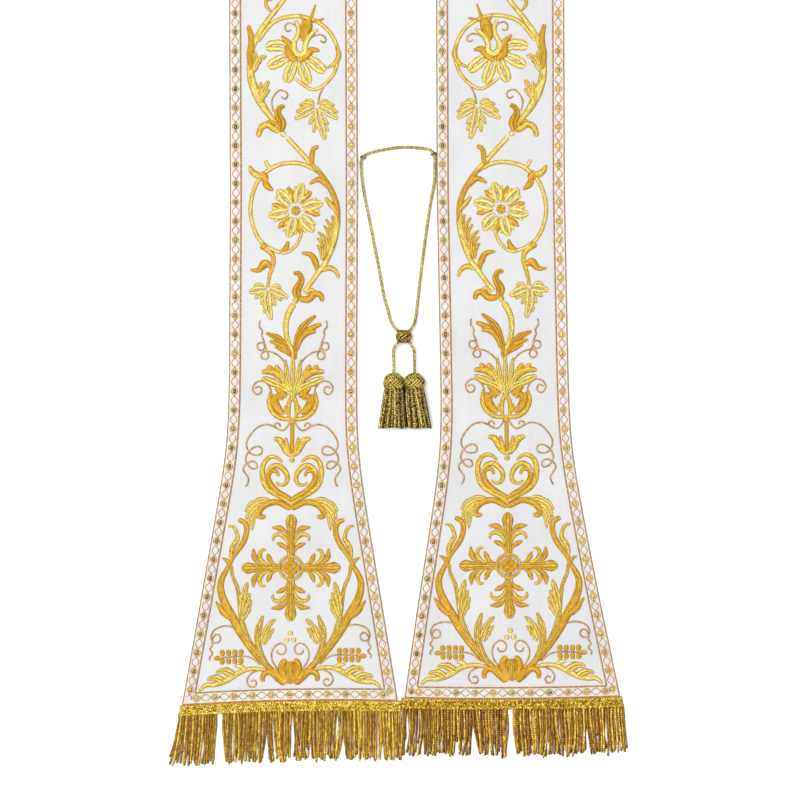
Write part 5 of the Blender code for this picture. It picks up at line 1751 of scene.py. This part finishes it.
# %% The rosette and the lily
ROSETTE = (-2, 491)
PETAL_ANGLES = (131, 76, 15, -50, -106, -170)  # as seen on the left panel, from its right
SEPAL = [(0, 9), (0, 15), (0, 19), (0, 25)]
SEPAL_ANGLES = (107, 51, -10, -78, -135, 165)
PETAL, PETAL_WIDTHS, PETAL_SLIT = [(0, 7), (0.6, 17), (0, 28)], (5.4, 9.6, 11.4, 8.6, 2.4), 1.8
PETAL_TEETH = [
    ([(2.6, 11), (4.6, 13.6), (6.6, 17)], (3, 3.4, 1)),
    ([(2.6, 16), (5, 19), (6.8, 23.4)], (3, 3.8, 1)),
]
LILY_WIDTHS = (5.2, 9.2, 11, 11, 4.4)
LILY_PETALS = [
    [(4, 650), (10, 655), (18, 656), (28, 654)],
    [(3, 646), (10, 642.5), (17, 639), (25.5, 634.6)],
    [(-1, 643), (1, 635), (4, 628), (7, 618.6)],
    [(-7, 643), (-9, 635), (-12, 627), (-15.4, 617)],
    [(-11, 645), (-17, 641.5), (-24, 636), (-31.8, 629.4)],
]
LILY_SLIT = 1.9
LILY = [
    ("orange", [(-3, 640.5), (4, 648), (4.4, 657), (12, 666)], (6, 8.4, 7, 1.6)),
    ("orange", [(-6, 640.5), (-13, 646), (-19, 651.5), (-26.5, 650.5)], (6, 8, 6.4, 1.8)),
    ("orange", [(-9.5, 660), (-11.5, 667.5), (-13.6, 675.5), (-15.2, 682.5)], (4.5, 10, 12, 8.5)),
    ("pale", [(-2.4, 681.5), (-5.5, 673), (-4.3, 665.8), (-0.8, 658.6), (-1.2, 651.3),
              (-5.8, 646.9), (-11.6, 649.6), (-12.2, 657), (-15, 663.5), (-20.6, 669.5),
              (-25, 672)], (2.6, 4, 4.2, 4.8, 5.2, 5.8, 5.4, 5, 4.8, 3.8, 1.8)),
    ("orange", [(-16.5, 680), (-19.5, 688), (-22.4, 697)], (3.2, 2.2, 1.1)),
    ("orange", [(-18, 680.5), (-25, 681), (-31, 683)], (3, 2.8, 1.2)),
    ("orange", [(-11.5, 680.5), (-8.5, 684.5), (-6, 687.5)], (3.2, 3.2, 1.4)),
]  # fmt: skip
LILY_TENDRILS = [
    [(-4.5, 672), (-1.8, 676.7), (4.5, 678.6), (8.2, 675), (6.4, 670.4), (2.3, 671.3)],
    [(-15.5, 661.3), (-21, 665.8), (-28.2, 666.7), (-32.7, 663), (-31, 659), (-26.8, 660.8)],
]
for side in SIDES:
    work = Goldwork(side)
    for angle in SEPAL_ANGLES:
        work.stitched("orange", turned(SEPAL, 90 - angle, ROSETTE), (1.2, 2.4, 5.4, 1.4))
    for angle in PETAL_ANGLES:
        for path, widths in PETAL_TEETH:
            for tooth in both(path):
                work.stitched("pale", turned(tooth, 90 - angle, ROSETTE), widths)
        work.opened(turned(PETAL, 90 - angle, ROSETTE), PETAL_WIDTHS, PETAL_SLIT, 0.15)
    for k in range(5):
        grain = turned([(0, 0), (0, 4.9)], 72 * k + 20, ROSETTE)
        work.stitched("orange", grain, (4.6, 5, 4.2), 0.3)
    work.finish("rosette")
    work = Goldwork(side)
    for path in LILY_PETALS:
        work.opened(path, LILY_WIDTHS, LILY_SLIT)
    for look, path, widths in LILY:
        work.stitched(look, path, widths, 0.2)
    for path in LILY_TENDRILS:
        work.couched(path)
    work.finish("lily")

# %% [markdown]
# ## The cloth's flat size
# The panel is cut flat and lies flat, so its flat size is its own outline: the width and length of
# the box round it, and the area of the cut itself.


# %% [markdown]
# ## Floor and light
# The stole lies on a plain white floor. The light is a broad soft panel high over it and a pale
# room all round, which is how flat textiles are lit: even, with just enough slant to show the
# padding of the gold.


# %% Floor, room and lamps
def paper():
    r = Recipe("white_paper", Roughness=0.9)
    grain = r.noise(0.002, 2.0)
    colour = r.ramp(grain, (0.4, tint(252, 252, 252)), (0.6, tint(254, 254, 254)))
    return r.finish(colour, grain, 0.00002)


floor = started(bpy.ops.mesh.primitive_plane_add, size=40)
floor.name = "floor"
floor.data.materials.append(paper())

SOFTBOX_PLACE, SOFTBOX_AIM = Vector((-1.5, 0.5, 3.8)), Vector((0.0, -0.23, 0.0))
SOFTBOX_SIZE, SOFTBOX_POWER = 2.6, 150
WALL_GLOW, TOP_GLOW = 0.35, 1.14  # the room is brighter overhead than at its walls
bpy.ops.object.light_add(type="AREA", location=SOFTBOX_PLACE)
softbox = bpy.context.object
softbox.name = "softbox"
softbox.data.shape = "RECTANGLE"
softbox.data.size = softbox.data.size_y = SOFTBOX_SIZE
softbox.data.energy = SOFTBOX_POWER
softbox.rotation_euler = (SOFTBOX_PLACE - SOFTBOX_AIM).to_track_quat("Z", "Y").to_euler()

world = bpy.data.worlds.new("studio")
world.use_nodes = True
tree = world.node_tree
tree.nodes["Background"].inputs["Color"].default_value = (1.0, 1.0, 1.0, 1.0)
where = tree.nodes.new("ShaderNodeTexCoord").outputs["Generated"]
parts = tree.nodes.new("ShaderNodeSeparateXYZ")
glow = tree.nodes.new("ShaderNodeMapRange")
glow.inputs["To Min"].default_value, glow.inputs["To Max"].default_value = WALL_GLOW, TOP_GLOW
tree.links.new(where, parts.inputs[0])
tree.links.new(parts.outputs["Z"], glow.inputs["Value"])
tree.links.new(glow.outputs[0], tree.nodes["Background"].inputs["Strength"])
bpy.context.scene.world = world
bpy.context.scene.view_settings.view_transform = "Standard"
